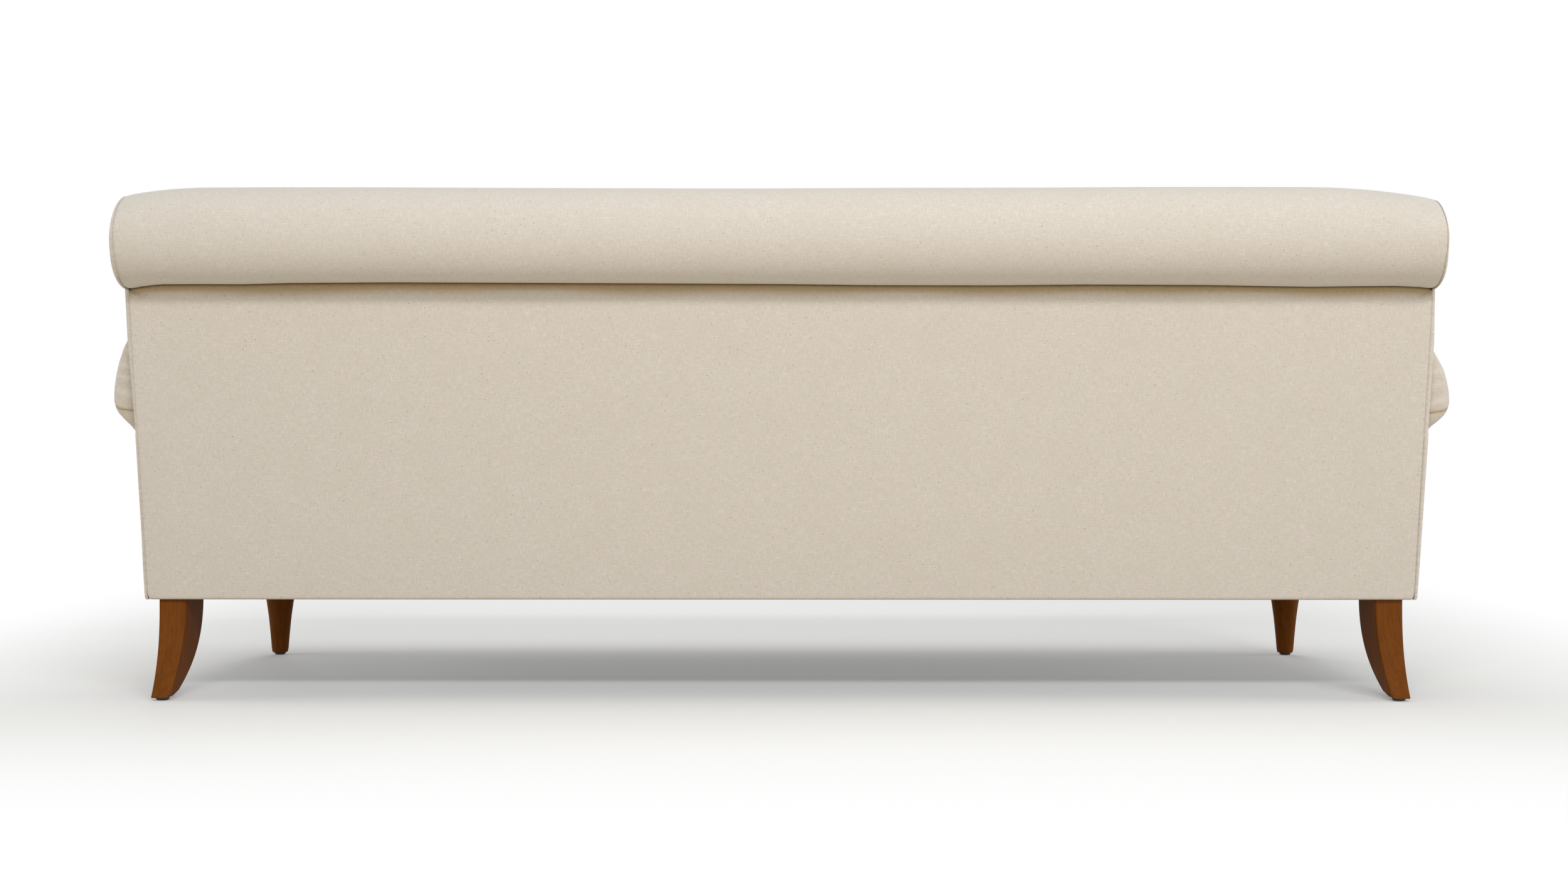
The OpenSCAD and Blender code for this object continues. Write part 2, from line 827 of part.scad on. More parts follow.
module leg_bolts() {
    color(steel) both_sides() for (place = bolt_places)
        translate([place[0], place[1], under_h - bolt_depth])
        cylinder(d = bolt_d, h = bolt_depth + dust_t + block_h - insert_flange_t);
}

module leg_inserts() {
    color(steel) both_sides() for (place = bolt_places)
        translate([place[0], place[1], rail_z + block_h / 2]) difference() {
            union() {
                cylinder(d = insert_d, h = block_h / 2);
                translate([0, 0, block_h / 2 - insert_flange_t])
                    cylinder(d = insert_flange_d, h = insert_flange_t);
            }
            translate([0, 0, -over]) cylinder(d = bolt_d, h = block_h);
        }
}

module glides() {
    foot_y = (leg_rear(1) + leg_front(1)) / 2;
    color(dark_plastic) both_sides() {
        translate([leg_x + foot_cut / 4, foot_y, 0]) cylinder(d = glide_d, h = glide_h);
        translate([front_leg_x, front_leg_y, 0]) cylinder(d = glide_d, h = glide_h);
    }
}

// Seat cushions. A cushion's plan is a grid over a rectangle, with an ear in front of the arm
// on the end ones. Grid lines are shares of each stretch, closer together near the seams.
main_shares = [0, 0.035, 0.12, 0.27, 0.5, 0.73, 0.88, 0.965, 1];
ear_shares = [0.3, 0.75, 1];
front_shares = [0, 0.12, 0.45, 1];
rear_shares = [0.14, 0.36, 0.6, 0.82, 0.95, 1];
cushion_z = deck_h + clear;
cushion_w = (2 * arm_in_x - 2 * cushion_gap) / 3 - cushion_gap;
ear_w = side_x - cushion_gap - arm_in_x;
upper_seam_z = cushion_z + lower_seam_h + boxing_h;

function spread(a, b, shares) = [for (s = shares) a + (b - a) * s];

// X and Y lines of the grid, set in by d at a height; the rear follows the inside back
function grid_x(c, d) = concat(
    spread(c[0] + d, c[1] - d, main_shares), ear_count(c) == 0 ? [] :
    spread(c[1] - d, c[2] - d, ear_shares)
);
function grid_y(d, z) = concat(
    spread(-body_d / 2 + d, arm_y - cushion_gap - d, front_shares),
    spread(arm_y - cushion_gap - d, inside_y(z) - cushion_gap - d, rear_shares)
);
function ear_count(c) = c[2] > c[1] ? len(ear_shares) : 0;

// Rise of the crown at a place, from its distance to the nearest side
function crown(c, x, y, y2) =
    let (
        in_ear = x > c[1],
        y1 = arm_y - cushion_gap,
        in_front = y < y1 && c[2] > c[1],
        dx = min(x - c[0], (in_front ? c[2] : c[1]) - x),
        dy = min(y + body_d / 2, (in_ear ? y1 : y2) - y),
        corner = in_front && !in_ear ? norm([x - c[1], y - y1]) : crown_run,
        d = max(0, min(dx, dy, corner, crown_run)) / crown_run
    )
    crown_h * (1 - pow(1 - d, 2.4));

// A layer of grid points, set in by d and drawn in between the corners
function layer(c, d, z, rise, t) =
    let (
        xs = grid_x(c, d + t), ys = grid_y(d + t, z),
        nx = len(xs) - 1, ny = len(ys) - 1,
        x0 = xs[0], x1 = xs[nx], y0 = ys[0], y1 = ys[ny]
    )
    [for (x = xs, y = ys)
        let (
            u = (x - x0) / (x1 - x0), v = (y - y0) / (y1 - y0),
            px = x + draw_in * (1 - 2 * u) * 4 * v * (1 - v),
            py = y + draw_in * (1 - 2 * v) * 4 * u * (1 - u)
        )
        [px, py, z + (rise ? crown(c, x, y, y1) : 0)]
    ];

// Closed cushion surface, set in by t: bottom, two seams with a swelling between, crowned top
module cushion(c, t) {
    nx = len(grid_x(c, 0));
    ny = len(grid_y(0, cushion_z));
    count = nx * ny;
    main = len(main_shares) - 1;
    front = len(front_shares) - 1;
    layers = [
        [2.4 * side_swell, cushion_z + t, false],
        [side_swell, cushion_z + lower_seam_h, false],
        [0, cushion_z + lower_seam_h + boxing_h / 2, false],
        [side_swell, upper_seam_z - t, true]
    ];
    top = len(layers) - 1;
    function id(k, i, j) = k * count + i * ny + j;
    function inside(i, j) =
        i >= 0 && j >= 0 && i < nx - 1 && j < ny - 1 && (i < main || j < front);
    function quad(a, b, c, d) = [[a, b, c], [a, c, d]];
    cells = [for (i = [0 : nx - 2], j = [0 : ny - 2]) if (inside(i, j)) [i, j]];
    polyhedron(
        points = [for (l = layers) each layer(c, l[0], l[1], l[2], t)],
        faces = [
            for (cell = cells) let (i = cell[0], j = cell[1]) each concat(
                quad(id(0, i, j), id(0, i + 1, j), id(0, i + 1, j + 1), id(0, i, j + 1)),
                quad(id(top, i, j), id(top, i, j + 1), id(top, i + 1, j + 1), id(top, i + 1, j)),
                [for (k = [0 : top - 1]) each concat(
                    inside(i - 1, j) ? [] :
                        quad(id(k, i, j), id(k, i, j + 1), id(k + 1, i, j + 1), id(k + 1, i, j)),
                    inside(i + 1, j) ? [] :
                        quad(id(k, i + 1, j + 1), id(k, i + 1, j), id(k + 1, i + 1, j),
                            id(k + 1, i + 1, j + 1)),
                    inside(i, j - 1) ? [] :
                        quad(id(k, i + 1, j), id(k, i, j), id(k + 1, i, j), id(k + 1, i + 1, j)),
                    inside(i, j + 1) ? [] :
                        quad(id(k, i, j + 1), id(k, i + 1, j + 1), id(k + 1, i + 1, j + 1),
                            id(k + 1, i, j + 1))
                )]
            )
        ]
    );
}

middle_plan = [-cushion_w / 2, cushion_w / 2, 0];
end_plan = [
    cushion_w / 2 + cushion_gap, arm_in_x - cushion_gap, arm_in_x + ear_w
];

module placed_cushion(name, t) {
    if (name == "middle") cushion(middle_plan, t);
    else side(name) cushion(end_plan, t);
}

module seat_cushion_cover(name) {
    color(linen) difference() {
        placed_cushion(name, 0);
        placed_cushion(name, cloth_t);
    }
}

module seat_cushion_core(name) {
    color(foam) placed_cushion(name, cloth_t);
}

front_rail();
rear_rail();
side_rail("left");  // side_rail_left
side_rail("right");  // side_rail_right
seat_stretchers();
corner_blocks();
back_post("left");  // back_post_left
back_post("right");  // back_post_right
back_ribs();
back_low_rail();
back_top_rail();
arm_front_boards();
arm_stumps();
arm_top_rails();
arm_slats("left");  // arm_slats_left
arm_slats("right");  // arm_slats_right
seat_springs();
spring_clips();
spring_tie_wires();
back_webbing();
deck_pad();
seat_edge_roll();
front_border_wadding();
back_pad();
back_roll_core();
outside_back_wadding();
arm_pad("left");  // arm_pad_left
arm_pad("right");  // arm_pad_right
arm_facing_pads();
outside_arm_wadding();
back_end_pads();
outside_back_cover();
inside_back_cover();
back_end_panel("left");  // back_end_panel_left
back_end_panel("right");  // back_end_panel_right
arm_cover("left");  // arm_cover_left
arm_cover("right");  // arm_cover_right
outside_arm_cover("left");  // outside_arm_cover_left
outside_arm_cover("right");  // outside_arm_cover_right
arm_facing("left");  // arm_facing_left
arm_facing("right");  // arm_facing_right
front_border_cover();
deck_cloth();
dust_cover();
rear_leg("left");  // rear_leg_left
rear_leg("right");  // rear_leg_right
front_leg("left");  // front_leg_left
front_leg("right");  // front_leg_right
leg_bolts();
leg_inserts();
glides();
seat_cushion_cover("left");  // seat_cushion_cover_left
seat_cushion_cover("middle");  // seat_cushion_cover_middle
seat_cushion_cover("right");  // seat_cushion_cover_right
seat_cushion_core("left");  // seat_cushion_core_left
seat_cushion_core("middle");  // seat_cushion_core_middle
seat_cushion_core("right");  // seat_cushion_core_right
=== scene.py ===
import math

import bmesh
import bpy
import numpy as np
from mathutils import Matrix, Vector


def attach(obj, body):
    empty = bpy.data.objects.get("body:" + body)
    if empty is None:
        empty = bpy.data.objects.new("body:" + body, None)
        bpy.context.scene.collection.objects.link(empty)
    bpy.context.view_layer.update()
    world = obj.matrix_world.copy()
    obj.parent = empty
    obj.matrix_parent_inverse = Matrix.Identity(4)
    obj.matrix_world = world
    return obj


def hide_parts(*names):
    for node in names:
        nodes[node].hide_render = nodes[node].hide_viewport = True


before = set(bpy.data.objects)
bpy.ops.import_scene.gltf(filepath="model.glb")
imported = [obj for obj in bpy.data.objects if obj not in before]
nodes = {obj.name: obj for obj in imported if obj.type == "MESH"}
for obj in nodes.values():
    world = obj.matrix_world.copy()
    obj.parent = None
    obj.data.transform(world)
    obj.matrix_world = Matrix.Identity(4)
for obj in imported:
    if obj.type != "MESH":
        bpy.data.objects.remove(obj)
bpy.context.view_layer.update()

# Sizes of the sofa in millimetres. X runs along it, the seat faces -Y, Z is up.
MM = 0.001
SIDE_X, FRONT_Y, TOP_Z, UNDER_Z = 1083.0, -433.0, 850.0, 167.0
DECK_Z, ARM_Y, REAR_Y, LIP_Y = 345.0, -303.0, 445.0, -323.0
CLOTH = 2.0
ROLL_R, CREASE_SET, SHOULDER_R = 80.0, 9.0, 110.0
ROLL_Y, ROLL_Z = REAR_Y - ROLL_R, TOP_Z - ROLL_R
CREASE_Y, CREASE_Z = ROLL_Y - CREASE_SET, ROLL_Z - math.sqrt(ROLL_R ** 2 - CREASE_SET ** 2)
RAKE, IN_RAKE = math.radians(11), math.radians(14)
SHOULDER_Y = ROLL_Y - SHOULDER_R * math.cos(IN_RAKE)
SHOULDER_Z = TOP_Z - SHOULDER_R + SHOULDER_R * math.sin(IN_RAKE)
# Angles in degrees at which the roll's section starts and the shoulder's section ends.
CREASE_ANGLE = -90 - math.degrees(math.asin(CREASE_SET / ROLL_R))
SHOULDER_ANGLE = 180 - math.degrees(IN_RAKE)
# How much higher the crease lies than in the solid, and the radius of the seat's front edge.
CREASE_LIFT, EDGE_R = 4.6, 18.0
FACING_DEPTH = 6.0
# X of the back end's inner edge and of the roll's end; Z where covers end behind the seat.
END_X, ROLL_END, COVER_Z = 1067.0, 1066.0, 309.0
ARM_X, ARM_Z, ARM_A, ARM_H, ARM_IN = 1034.0, 500.0, 87.0, 142.0, 947.0
TUCK_Z, TUCK_H, OVERHANG, TAIL_SET = 443.0, 57.0, 38.0, 26.0
SIDES = {"left": -1.0, "right": 1.0}


def outside_y(z):
    """Y of the outside back at a height: a plane that leans by its rake from the crease."""
    return CREASE_Y - (CREASE_Z - z) * math.tan(RAKE)


def inside_y(z):
    """Y of the inside back at a height, below the shoulder."""
    return SHOULDER_Y - (SHOULDER_Z - z) * math.tan(IN_RAKE)


# Grids and meshes. A grid holds eight values for each point: x, y, z in millimetres, the cloth's
# own coordinates u, v in metres, the distance to the nearest seam and the length along it in
# millimetres, and how much painted shade the cloth takes where folds or the roll lie above it, from
# 0 to 1.


# In millimetres: the distance that stands for no seam, and how near two points are one.
NO_SEAM, WELD = 99.0, 0.02


def ease(t):
    """Smooth step from 0 to 1."""
    t = np.clip(t, 0, 1)
    return t * t * (3 - 2 * t)


def quarter(d, depth):
    """Height, 0 to 1, of a quarter ellipse at a distance in from its edge."""
    t = 1 - np.clip(np.asarray(d, float) / depth, 0, 1)
    return np.sqrt(1 - t * t)


def arc(centre, r, a0, a1, n):
    """Points on a circle, or an ellipse of two radii, between two angles in degrees."""
    a = np.radians(np.linspace(a0, a1, n))
    return centre + np.multiply(r, np.stack([np.cos(a), np.sin(a)], 1))


def run(line):
    """Length along a polyline up to each of its points."""
    return np.r_[0, np.cumsum(np.linalg.norm(np.diff(line, axis=0), axis=1))]


def points_at(line, t):
    """Points at lengths t along a polyline."""
    at = run(line)
    return np.stack([np.interp(t, at, line[:, k]) for k in (0, 1)], 1)


def even(line, step):
    """Points along a polyline at even distances, near a step."""
    line = np.asarray(line, float)
    end = run(line)[-1]
    return points_at(line, np.linspace(0, end, max(2, int(round(end / step)) + 1)))


def chain(*parts):
    """Polylines end to end, without the doubled points where they meet."""
    out = np.concatenate([np.asarray(p, float) for p in parts])
    keep = np.r_[True, np.linalg.norm(np.diff(out, axis=0), axis=1) > WELD]
    return out[keep]


def seam_spread(a, b, step, fine=1.2, growth=1.4):
    """Places from a to b that crowd towards both ends: steps grow by a ratio up to the step."""
    near = np.cumsum(fine * growth ** np.arange(30))
    near = np.r_[0, near[near < min(step / (1 - 1 / growth), (b - a) / 3)]]
    middle = np.linspace(a + near[-1], b - near[-1],
                         max(2, int(round((b - a - 2 * near[-1]) / step)) + 1))
    return np.r_[a + near[:-1], middle, (b - near[:-1])[::-1]]


def distance(x, y, a, b):
    """Distance from points to the nearest of the segments between a and b, all at once."""
    p = np.stack([x, y], -1)[..., None, :]
    t = ((p - a) * (b - a)).sum(-1) / np.maximum(((b - a) ** 2).sum(-1), 1e-9)
    return np.sqrt(((p - a - np.clip(t, 0, 1)[..., None] * (b - a)) ** 2).sum(-1)).min(-1)


def xyz(x, y, z):
    """A grid of points from three arrays that broadcast together."""
    return np.stack(np.broadcast_arrays(x, y, z), -1)


def crowded(n):
    """Shares from 0 to 1 that crowd towards both ends."""
    return (1 - np.cos(np.pi * np.linspace(0, 1, n))) / 2


def ribs(a, b, t):
    """The two coordinates of points at shares t between two lines of points."""
    return (a[:, k:k + 1] + (b[:, k:k + 1] - a[:, k:k + 1]) * t for k in (0, 1))


def spread_x(half, step, fine):
    """X from side to side, crowded towards the seams, and the distance to the nearer seam."""
    share = seam_spread(-1.0, 1.0, step, fine)[:, None]
    return share * half, (1 - np.abs(share)) * half


def normals(P):
    """Unit normals of a grid of points, from its slopes along rows and columns."""
    n = np.cross(np.gradient(P, axis=0), np.gradient(P, axis=1))
    return n / np.maximum(np.linalg.norm(n, axis=2, keepdims=True), 1e-9)


def outward(P, inside):
    """Unit normals of a grid of points that face away from an inner point."""
    n = normals(P)
    return n * np.sign((n * (P - np.array(inside))).sum(-1).mean())


def cloth_uv(P):
    """Cloth coordinates in metres: mean length along the rows, own length along the columns."""
    u = np.linalg.norm(np.diff(P, axis=0), axis=2).mean(1)
    v = np.linalg.norm(np.diff(P, axis=1), axis=2)
    u = np.r_[0, np.cumsum(u)][:, None] + np.zeros(P.shape[:2])
    v = np.concatenate([np.zeros((P.shape[0], 1)), np.cumsum(v, axis=1)], 1)
    return u * MM, v * MM


def grid(P, seam=NO_SEAM, along=0.0, uv=None, inside=(0.0, 150.0, 450.0), shade=0.0):
    """A patch: grid points with cloth coordinates and seam values, and its quads, which face
    away from an inner point."""
    nu, nv = P.shape[:2]
    u, v = cloth_uv(P) if uv is None else uv
    ones = np.ones((nu, nv))
    values = np.stack([u, v, seam * ones, along * ones, shade * ones], -1)
    i, j = np.meshgrid(np.arange(nu - 1), np.arange(nv - 1), indexing="ij")
    a = (i * nv + j).ravel()
    quads = np.stack([a, a + nv, a + nv + 1, a + 1], -1)
    if (normals(P) * (P - np.array(inside))).sum(-1).mean() < 0:
        quads = quads[:, ::-1]
    return np.concatenate([P, values], -1).reshape(-1, 8), quads


def new_object(name, data):
    piece = bpy.data.objects.new(name, data)
    bpy.context.scene.collection.objects.link(piece)
    return piece


def make(name, patches, finish, stands_for=(), wall=0.0, ride=True):
    """One piece from patches, welded where they meet, with the cloth's UV map and the three
    attributes of its seams and of its painted shade. A wall gives the cloth its thickness inwards."""
    starts = np.cumsum([0] + [len(p[0]) for p in patches])
    points = np.concatenate([p[0] for p in patches])
    quads = np.concatenate([p[1] + s for p, s in zip(patches, starts)])
    mesh = bpy.data.meshes.new(name)
    mesh.from_pydata((points[:, :3] * MM).tolist(), [], quads.tolist())
    layer = mesh.uv_layers.new(name="cloth")
    layer.data.foreach_set("uv", points[quads.ravel(), 3:5].astype(np.float32).ravel())
    for k, label in ((5, "seam"), (6, "along"), (7, "shade")):
        mesh.attributes.new(label, "FLOAT", "POINT").data.foreach_set(
            "value", points[:, k].astype(np.float32))
    work = bmesh.new()
    work.from_mesh(mesh)
    bmesh.ops.remove_doubles(work, verts=work.verts, dist=WELD * MM)
    work.to_mesh(mesh)
    work.free()
    mesh.shade_smooth()
    piece = new_object(name, mesh)
    mesh.materials.append(finish)
    if wall:
        solid = piece.modifiers.new("wall", "SOLIDIFY")
        solid.thickness, solid.offset = wall * MM, -1
    if ride:
        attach(piece, "sofa")
    if stands_for:
        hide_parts(*stands_for)
    return piece


def soft_waves(a, b, seed):
    """Slow unevenness of stuffing under cloth, about -1 to 1: three crossed sine waves."""
    k = np.random.default_rng(int(seed)).uniform(0.8, 1.3, 6)
    return (np.sin(a * k[0] / 170 + seed) * np.sin(b * k[1] / 95 + 2 * seed)
            + 0.6 * np.sin(a * k[2] / 71 + 1.7 * seed + b * k[3] / 130)
            + 0.4 * np.sin(b * k[4] / 48 + a * k[5] / 210 + 3 * seed)) / 2


# Materials


def tone(code):
    """sRGB hex to the linear colour that a socket takes."""
    c = np.array([int(code[k:k + 2], 16) for k in (1, 3, 5)]) / 255
    c = np.where(c <= 0.04045, c / 12.92, ((c + 0.055) / 1.055) ** 2.4)
    return (*c.tolist(), 1.0)


def add(tree, kind, inputs=None, **settings):
    """Adds a node, sets its settings, and fills its inputs or links them to a socket or to the
    first output of a node."""
    n = tree.nodes.new("ShaderNode" + kind)
    for key, value in settings.items():
        setattr(n, key, value)
    for key, value in (inputs or {}).items():
        if isinstance(value, bpy.types.Node):
            value = value.outputs[0]
        if isinstance(value, bpy.types.NodeSocket):
            tree.links.new(value, n.inputs[key])
        else:
            n.inputs[key].default_value = value
    return n


def material(name, cloth=False):
    """A new material, its node tree, and the place in it: the cloth's own coordinates, or else
    the piece's."""
    m = bpy.data.materials.new(name)
    m.use_nodes = True
    t = m.node_tree
    t.nodes.clear()
    if cloth:
        return m, t, add(t, "UVMap", uv_map="cloth").outputs["UV"]
    return m, t, add(t, "TexCoord").outputs["Object"]


def noise(tree, place, across, detail=2.0, rough=0.5):
    """Noise whose grains have real sizes in millimetres along the place's three axes."""
    scaled = add(tree, "Mapping", {0: place, 3: [1000 / s for s in across]})
    return add(tree, "TexNoise", {"Vector": scaled, "Scale": 1.0, "Detail": detail,
                                  "Roughness": rough}).outputs[0]


def ramp(tree, value, low, high, out_low=0.0, out_high=1.0):
    """A value between two limits, spread smoothly over two others."""
    return add(tree, "MapRange", {0: value, 1: low, 2: high, 3: out_low, 4: out_high},
               interpolation_type="SMOOTHSTEP").outputs[0]


def calc(tree, operation, a, b=0.0):
    return add(tree, "Math", {0: a, 1: b}, operation=operation).outputs[0]


def mean(tree, a, b):
    return calc(tree, "MULTIPLY", calc(tree, "ADD", a, b), 0.5)


def mix(tree, factor, a, b, how="MIX"):
    return add(tree, "Mix", {0: factor, 6: a, 7: b}, data_type="RGBA", blend_type=how).outputs[2]


def surface(tree, colour, bumps=(), **sockets):
    """Principled shader with constants on its own sockets and a chain of bumps, each one a
    height, its depth in millimetres and its strength."""
    normal = {}
    for height, depth, strength in bumps:
        normal = {"Normal": add(tree, "Bump", {"Height": height, "Distance": depth * MM,
                                               "Strength": strength, **normal})}
    shader = add(tree, "BsdfPrincipled", {"Base Color": colour, **sockets, **normal})
    add(tree, "OutputMaterial", {"Surface": shader})


def woven(name, base, shade, light, thread, slub=1.0, speck=1.0, sheen=0.3):
    """Plain-woven upholstery cloth: uneven yarns both ways, slubs, small husk specks, puckers with
    a thin line of painted shade along each seam, and painted shade under folds. Threads are in
    millimetres."""
    m, t, uv = material(name, cloth=True)
    base, shade, light = tone(base), tone(shade), tone(light)
    seam, along, painted_shade = (add(t, "Attribute", attribute_name=label).outputs["Fac"]
                         for label in ("seam", "along", "shade"))
    # Real yarns are 0.5 mm apart; they are drawn at 0.9 mm so that they show in the render.
    weft = noise(t, uv, (9, thread, 1), 3)
    warp = noise(t, uv, (thread, 9, 1), 3)
    long_slub = noise(t, uv, (34, 1.7, 1), 1)
    up_slub = noise(t, uv, (1.7, 34, 1), 1)
    grain = noise(t, uv, (1.1, 1.1, 1), 1)
    cloud = noise(t, uv, (70, 70, 1), 2)
    body = mix(t, ramp(t, mean(t, weft, warp), 0.38, 0.62), shade, base)
    # Bundles of thicker and thinner yarns, which still show from a few metres away.
    thick = calc(t, "ADD", noise(t, uv, (19, 2.6, 1), 1), noise(t, uv, (2.6, 17, 1), 1))
    body = mix(t, ramp(t, thick, 0.82, 1.18, 0.46, 0.0), body, shade)
    slubs = calc(t, "ADD", ramp(t, long_slub, 0.6, 0.78, 0, 0.4 * slub),
                 ramp(t, up_slub, 0.62, 0.8, 0, 0.3 * slub))
    husk = noise(t, uv, (4.2, 2.4, 1), 0)
    for share, colour in ((slubs, light), (ramp(t, grain, 0.3, 0.7, 0.1, 0.0), shade),
                          (ramp(t, cloud, 0.3, 0.75, 0.0, 0.22), shade),
                          (ramp(t, husk, 0.77, 0.84, 0, 0.55 * speck), tone("#7E6C4A"))):
        body = mix(t, share, body, colour)
    # Stitches gather the cloth about every 8.5 mm; the gathers fade out over 15 mm.
    gather = add(t, "TexNoise", {"W": calc(t, "MULTIPLY", along, 1 / 8.5), "Scale": 1.0,
                                 "Detail": 1.0}, noise_dimensions="1D").outputs[0]
    gathers = calc(t, "MULTIPLY", ramp(t, gather, 0.25, 0.75), ramp(t, seam, 0, 15, 1, 0))
    # Painted shade: a thin darker line along each seam.
    body = mix(t, ramp(t, seam, 0.0, 1.4, 0.18, 0.0), body, tone("#8A7550"))
    # Painted shade: a warm darker tint where folds lie above, drawn over and above what the lamps
    # shade.
    body = mix(t, painted_shade, body, tone("#C4AE78"), "MULTIPLY")
    surface(t, body,
            [(calc(t, "ADD", weft, warp), 0.25, 0.35), (gathers, 1.1, 0.5)],
            Roughness=0.92, **{"Specular IOR Level": 0.2, "Sheen Weight": sheen,
                               "Sheen Roughness": 0.6})
    return m


# Washed linen and cotton, woven plain and left its own pale oat colour: matt, soft-edged light.
linen = woven("linen_plain_weave", "#DAD1C5", "#C9BFB1", "#E6DFD4", 0.9)
# The same cloth on the loose cushions, cut from another length.
cushion_linen = woven("linen_cushion_covers", "#DBD2C6", "#CAC0B2", "#E7E0D5", 0.9)
# Cotton twill lining cloth that covers the deck: plainer, a little darker.
deck_twill = woven("cotton_deck_twill", "#CFC6B6", "#BDB3A2", "#D8D0C2", 0.8,
                   slub=0.3, speck=0.3, sheen=0.15)


def dull(name, cloth, sizes, detail, limits, dark, pale, bump, rough):
    """A dull surface with one grain, or the mean of two, pale where it stands up."""
    m, t, place = material(name, cloth)
    grains = [noise(t, place, across, detail) for across in sizes]
    grain = mean(t, *grains) if len(grains) == 2 else grains[0]
    body = mix(t, ramp(t, grain, *limits), tone(dark), tone(pale))
    surface(t, body, [(grain, *bump)], Roughness=rough)
    return m


# Spun-bonded black cambric, calendered: fine fibre mottling, dull.
cambric = dull("cambric_dust_cover", True, [(1.6, 1.6, 1)], 2, (0.35, 0.7), "#232325", "#343437",
               (0.15, 0.4), 0.75)
# Jute webbing, coarse plain weave of hairy yarns 2.4 mm apart: matt and golden brown.
webbing = dull("jute_webbing", True, [(12, 2.4, 1), (2.4, 12, 1)], 2, (0.38, 0.62), "#8E7345",
               "#C2A672", (0.5, 0.7), 0.95)
# Polyamide glide, moulded: near black, evenly fine-grained, dull.
glide_plastic = dull("polyamide_glide", False, [(0.6, 0.6, 0.6)], 1, (0.3, 0.7), "#1F1F22",
                     "#2C2C30", (0.05, 0.3), 0.55)


def grained(name, pale, dark, streak, axis, rough, pore):
    """Sawn or carved wood: growth bands, streaks and open pores that run along one axis."""
    m, t, place = material(name)

    def grain(across, lengthwise, detail, roughness=0.5):
        size = [lengthwise if k == axis else across for k in range(3)]
        return noise(t, place, size, detail, roughness)

    rings = calc(t, "PINGPONG", calc(t, "MULTIPLY", grain(26, 420, 2), 9.0), 1.0)
    streaks, pores, tint = grain(2.6, 90, 3, 0.6), grain(0.7, 14, 1), grain(45, 160, 1)
    body = mix(t, ramp(t, rings, 0.0, 1.0, 0.0, 0.5), tone(pale), tone(dark))
    body = mix(t, ramp(t, streaks, 0.45, 0.75, 0.0, 0.55), body, tone(streak))
    body = mix(t, ramp(t, tint, 0.3, 0.7, 0.0, 0.35), body, tone(dark))
    body = mix(t, ramp(t, pores, 0.66, 0.78, 0.0, pore), body, tone(streak))
    surface(t, body, [(ramp(t, pores, 0.62, 0.8, 1.0, 0.0), 0.12, 0.35 * pore + 0.1),
                      (streaks, 0.15, 0.12)],
            Roughness=rough, IOR=1.5, **{"Specular IOR Level": 0.05})
    return m


# Walnut-stained hardwood under satin lacquer: warm red-brown with hardly any reflections.
walnut = grained("walnut_satin_lacquer", "#764316", "#64360F", "#4F2A08", 2, 0.58, 0.4)
# Kiln-dried beech, sawn and left bare: pale, dry, with short flecks.
beech = [grained(f"beech_sawn_{label}", "#D9B98C", "#C9A473", "#B18A5B", k, 0.8, 0.6)
         for k, label in enumerate("xyz")]


def metal(name, colour, dark, rough, grit):
    """Drawn or pressed steel: slight patches of duller finish over fine draw marks."""
    m, t, place = material(name)
    patch = noise(t, place, (9, 9, 9), 2)
    marks = noise(t, place, (grit, grit * 8, grit), 1)
    body = mix(t, ramp(t, patch, 0.4, 0.7), tone(colour), tone(dark))
    surface(t, body, [(marks, 0.05, 0.3)], Metallic=1.0, Roughness=rough)
    return m


# Oil-tempered spring wire: dark, bluish, satin.
spring_wire = metal("spring_wire_oil_tempered", "#7F858B", "#5D6267", 0.36, 0.6)
# Zinc-plated pressed steel: paler and cooler.
zinc = metal("zinc_plated_steel", "#B9BFC4", "#9DA3A8", 0.3, 0.5)


# Places along the back's ends. The end seam of the back stands in from the side.


def seam_x(z):
    """X of the seam down the rear edge of the outside back, which widens downwards."""
    return np.interp(z, [167, 277, 600, CREASE_Z, 720, 760, 850],
                     [1076.5, 1075.5, 1073.5, 1072.0, 1067.5, 1066.0, 1066.0])


def side_face_x(z, sign):
    """X of the side of the base, of the lower arm and of the padded back end. The two ends are
    stuffed a little differently."""
    right = [1083.0, 1082.5, 1081.0, 1079.6, 1083.0, 1081.0, 1075.0, 1072.5, 1072.0]
    left = [1083.5, 1084.0, 1084.0, 1084.0, 1084.0, 1079.0, 1070.5, 1068.5, 1070.0]
    return np.interp(z, [167, 226, 278, 443, 600, 690, 740, 790, 850],
                     right if sign > 0 else left)


def end_dip(x, z):
    """How far the top of the roll sinks towards its ends, more on the left than on the right."""
    right = 12.5 * np.clip((x - 925) / (ROLL_END - 925), 0, 1) ** 2.2
    left = 20.0 * np.clip((-x - 850) / (ROLL_END - 850), 0, 1) ** 2.2
    full = 1.7 * ease((np.abs(x) - 250) / 400)
    return (right + left - full) * ease((z - 740) / 90)


def crease_drop(x):
    """Height of the crease over its straight line: it wavers, and falls at both corners."""
    knots = [-1072, -1050, -1010, -950, -870, -700, -500, -350, -150, 0, 200, 430, 640, 800, 880,
             960, 1020, 1050, 1072]
    drops = [-9, -6.0, -4.0, -4.5, -5.5, -2.5, -1.5, -3.0, -2.5, -0.5, 0.5, 1.8, 2.6, 1.6, -0.6,
             -0.2, -0.6, -4.5, -9]
    return CREASE_LIFT + np.interp(x, knots, drops)


def roll_arc():
    """Section of the roll, from the crease round the rear to the top."""
    return arc((ROLL_Y, ROLL_Z), ROLL_R, CREASE_ANGLE, 90, 80)


def shoulder_arc(a0, a1, n):
    """Section of the shoulder between the top of the roll and the inside back."""
    return arc((ROLL_Y, TOP_Z - SHOULDER_R), SHOULDER_R, a0, a1, n)


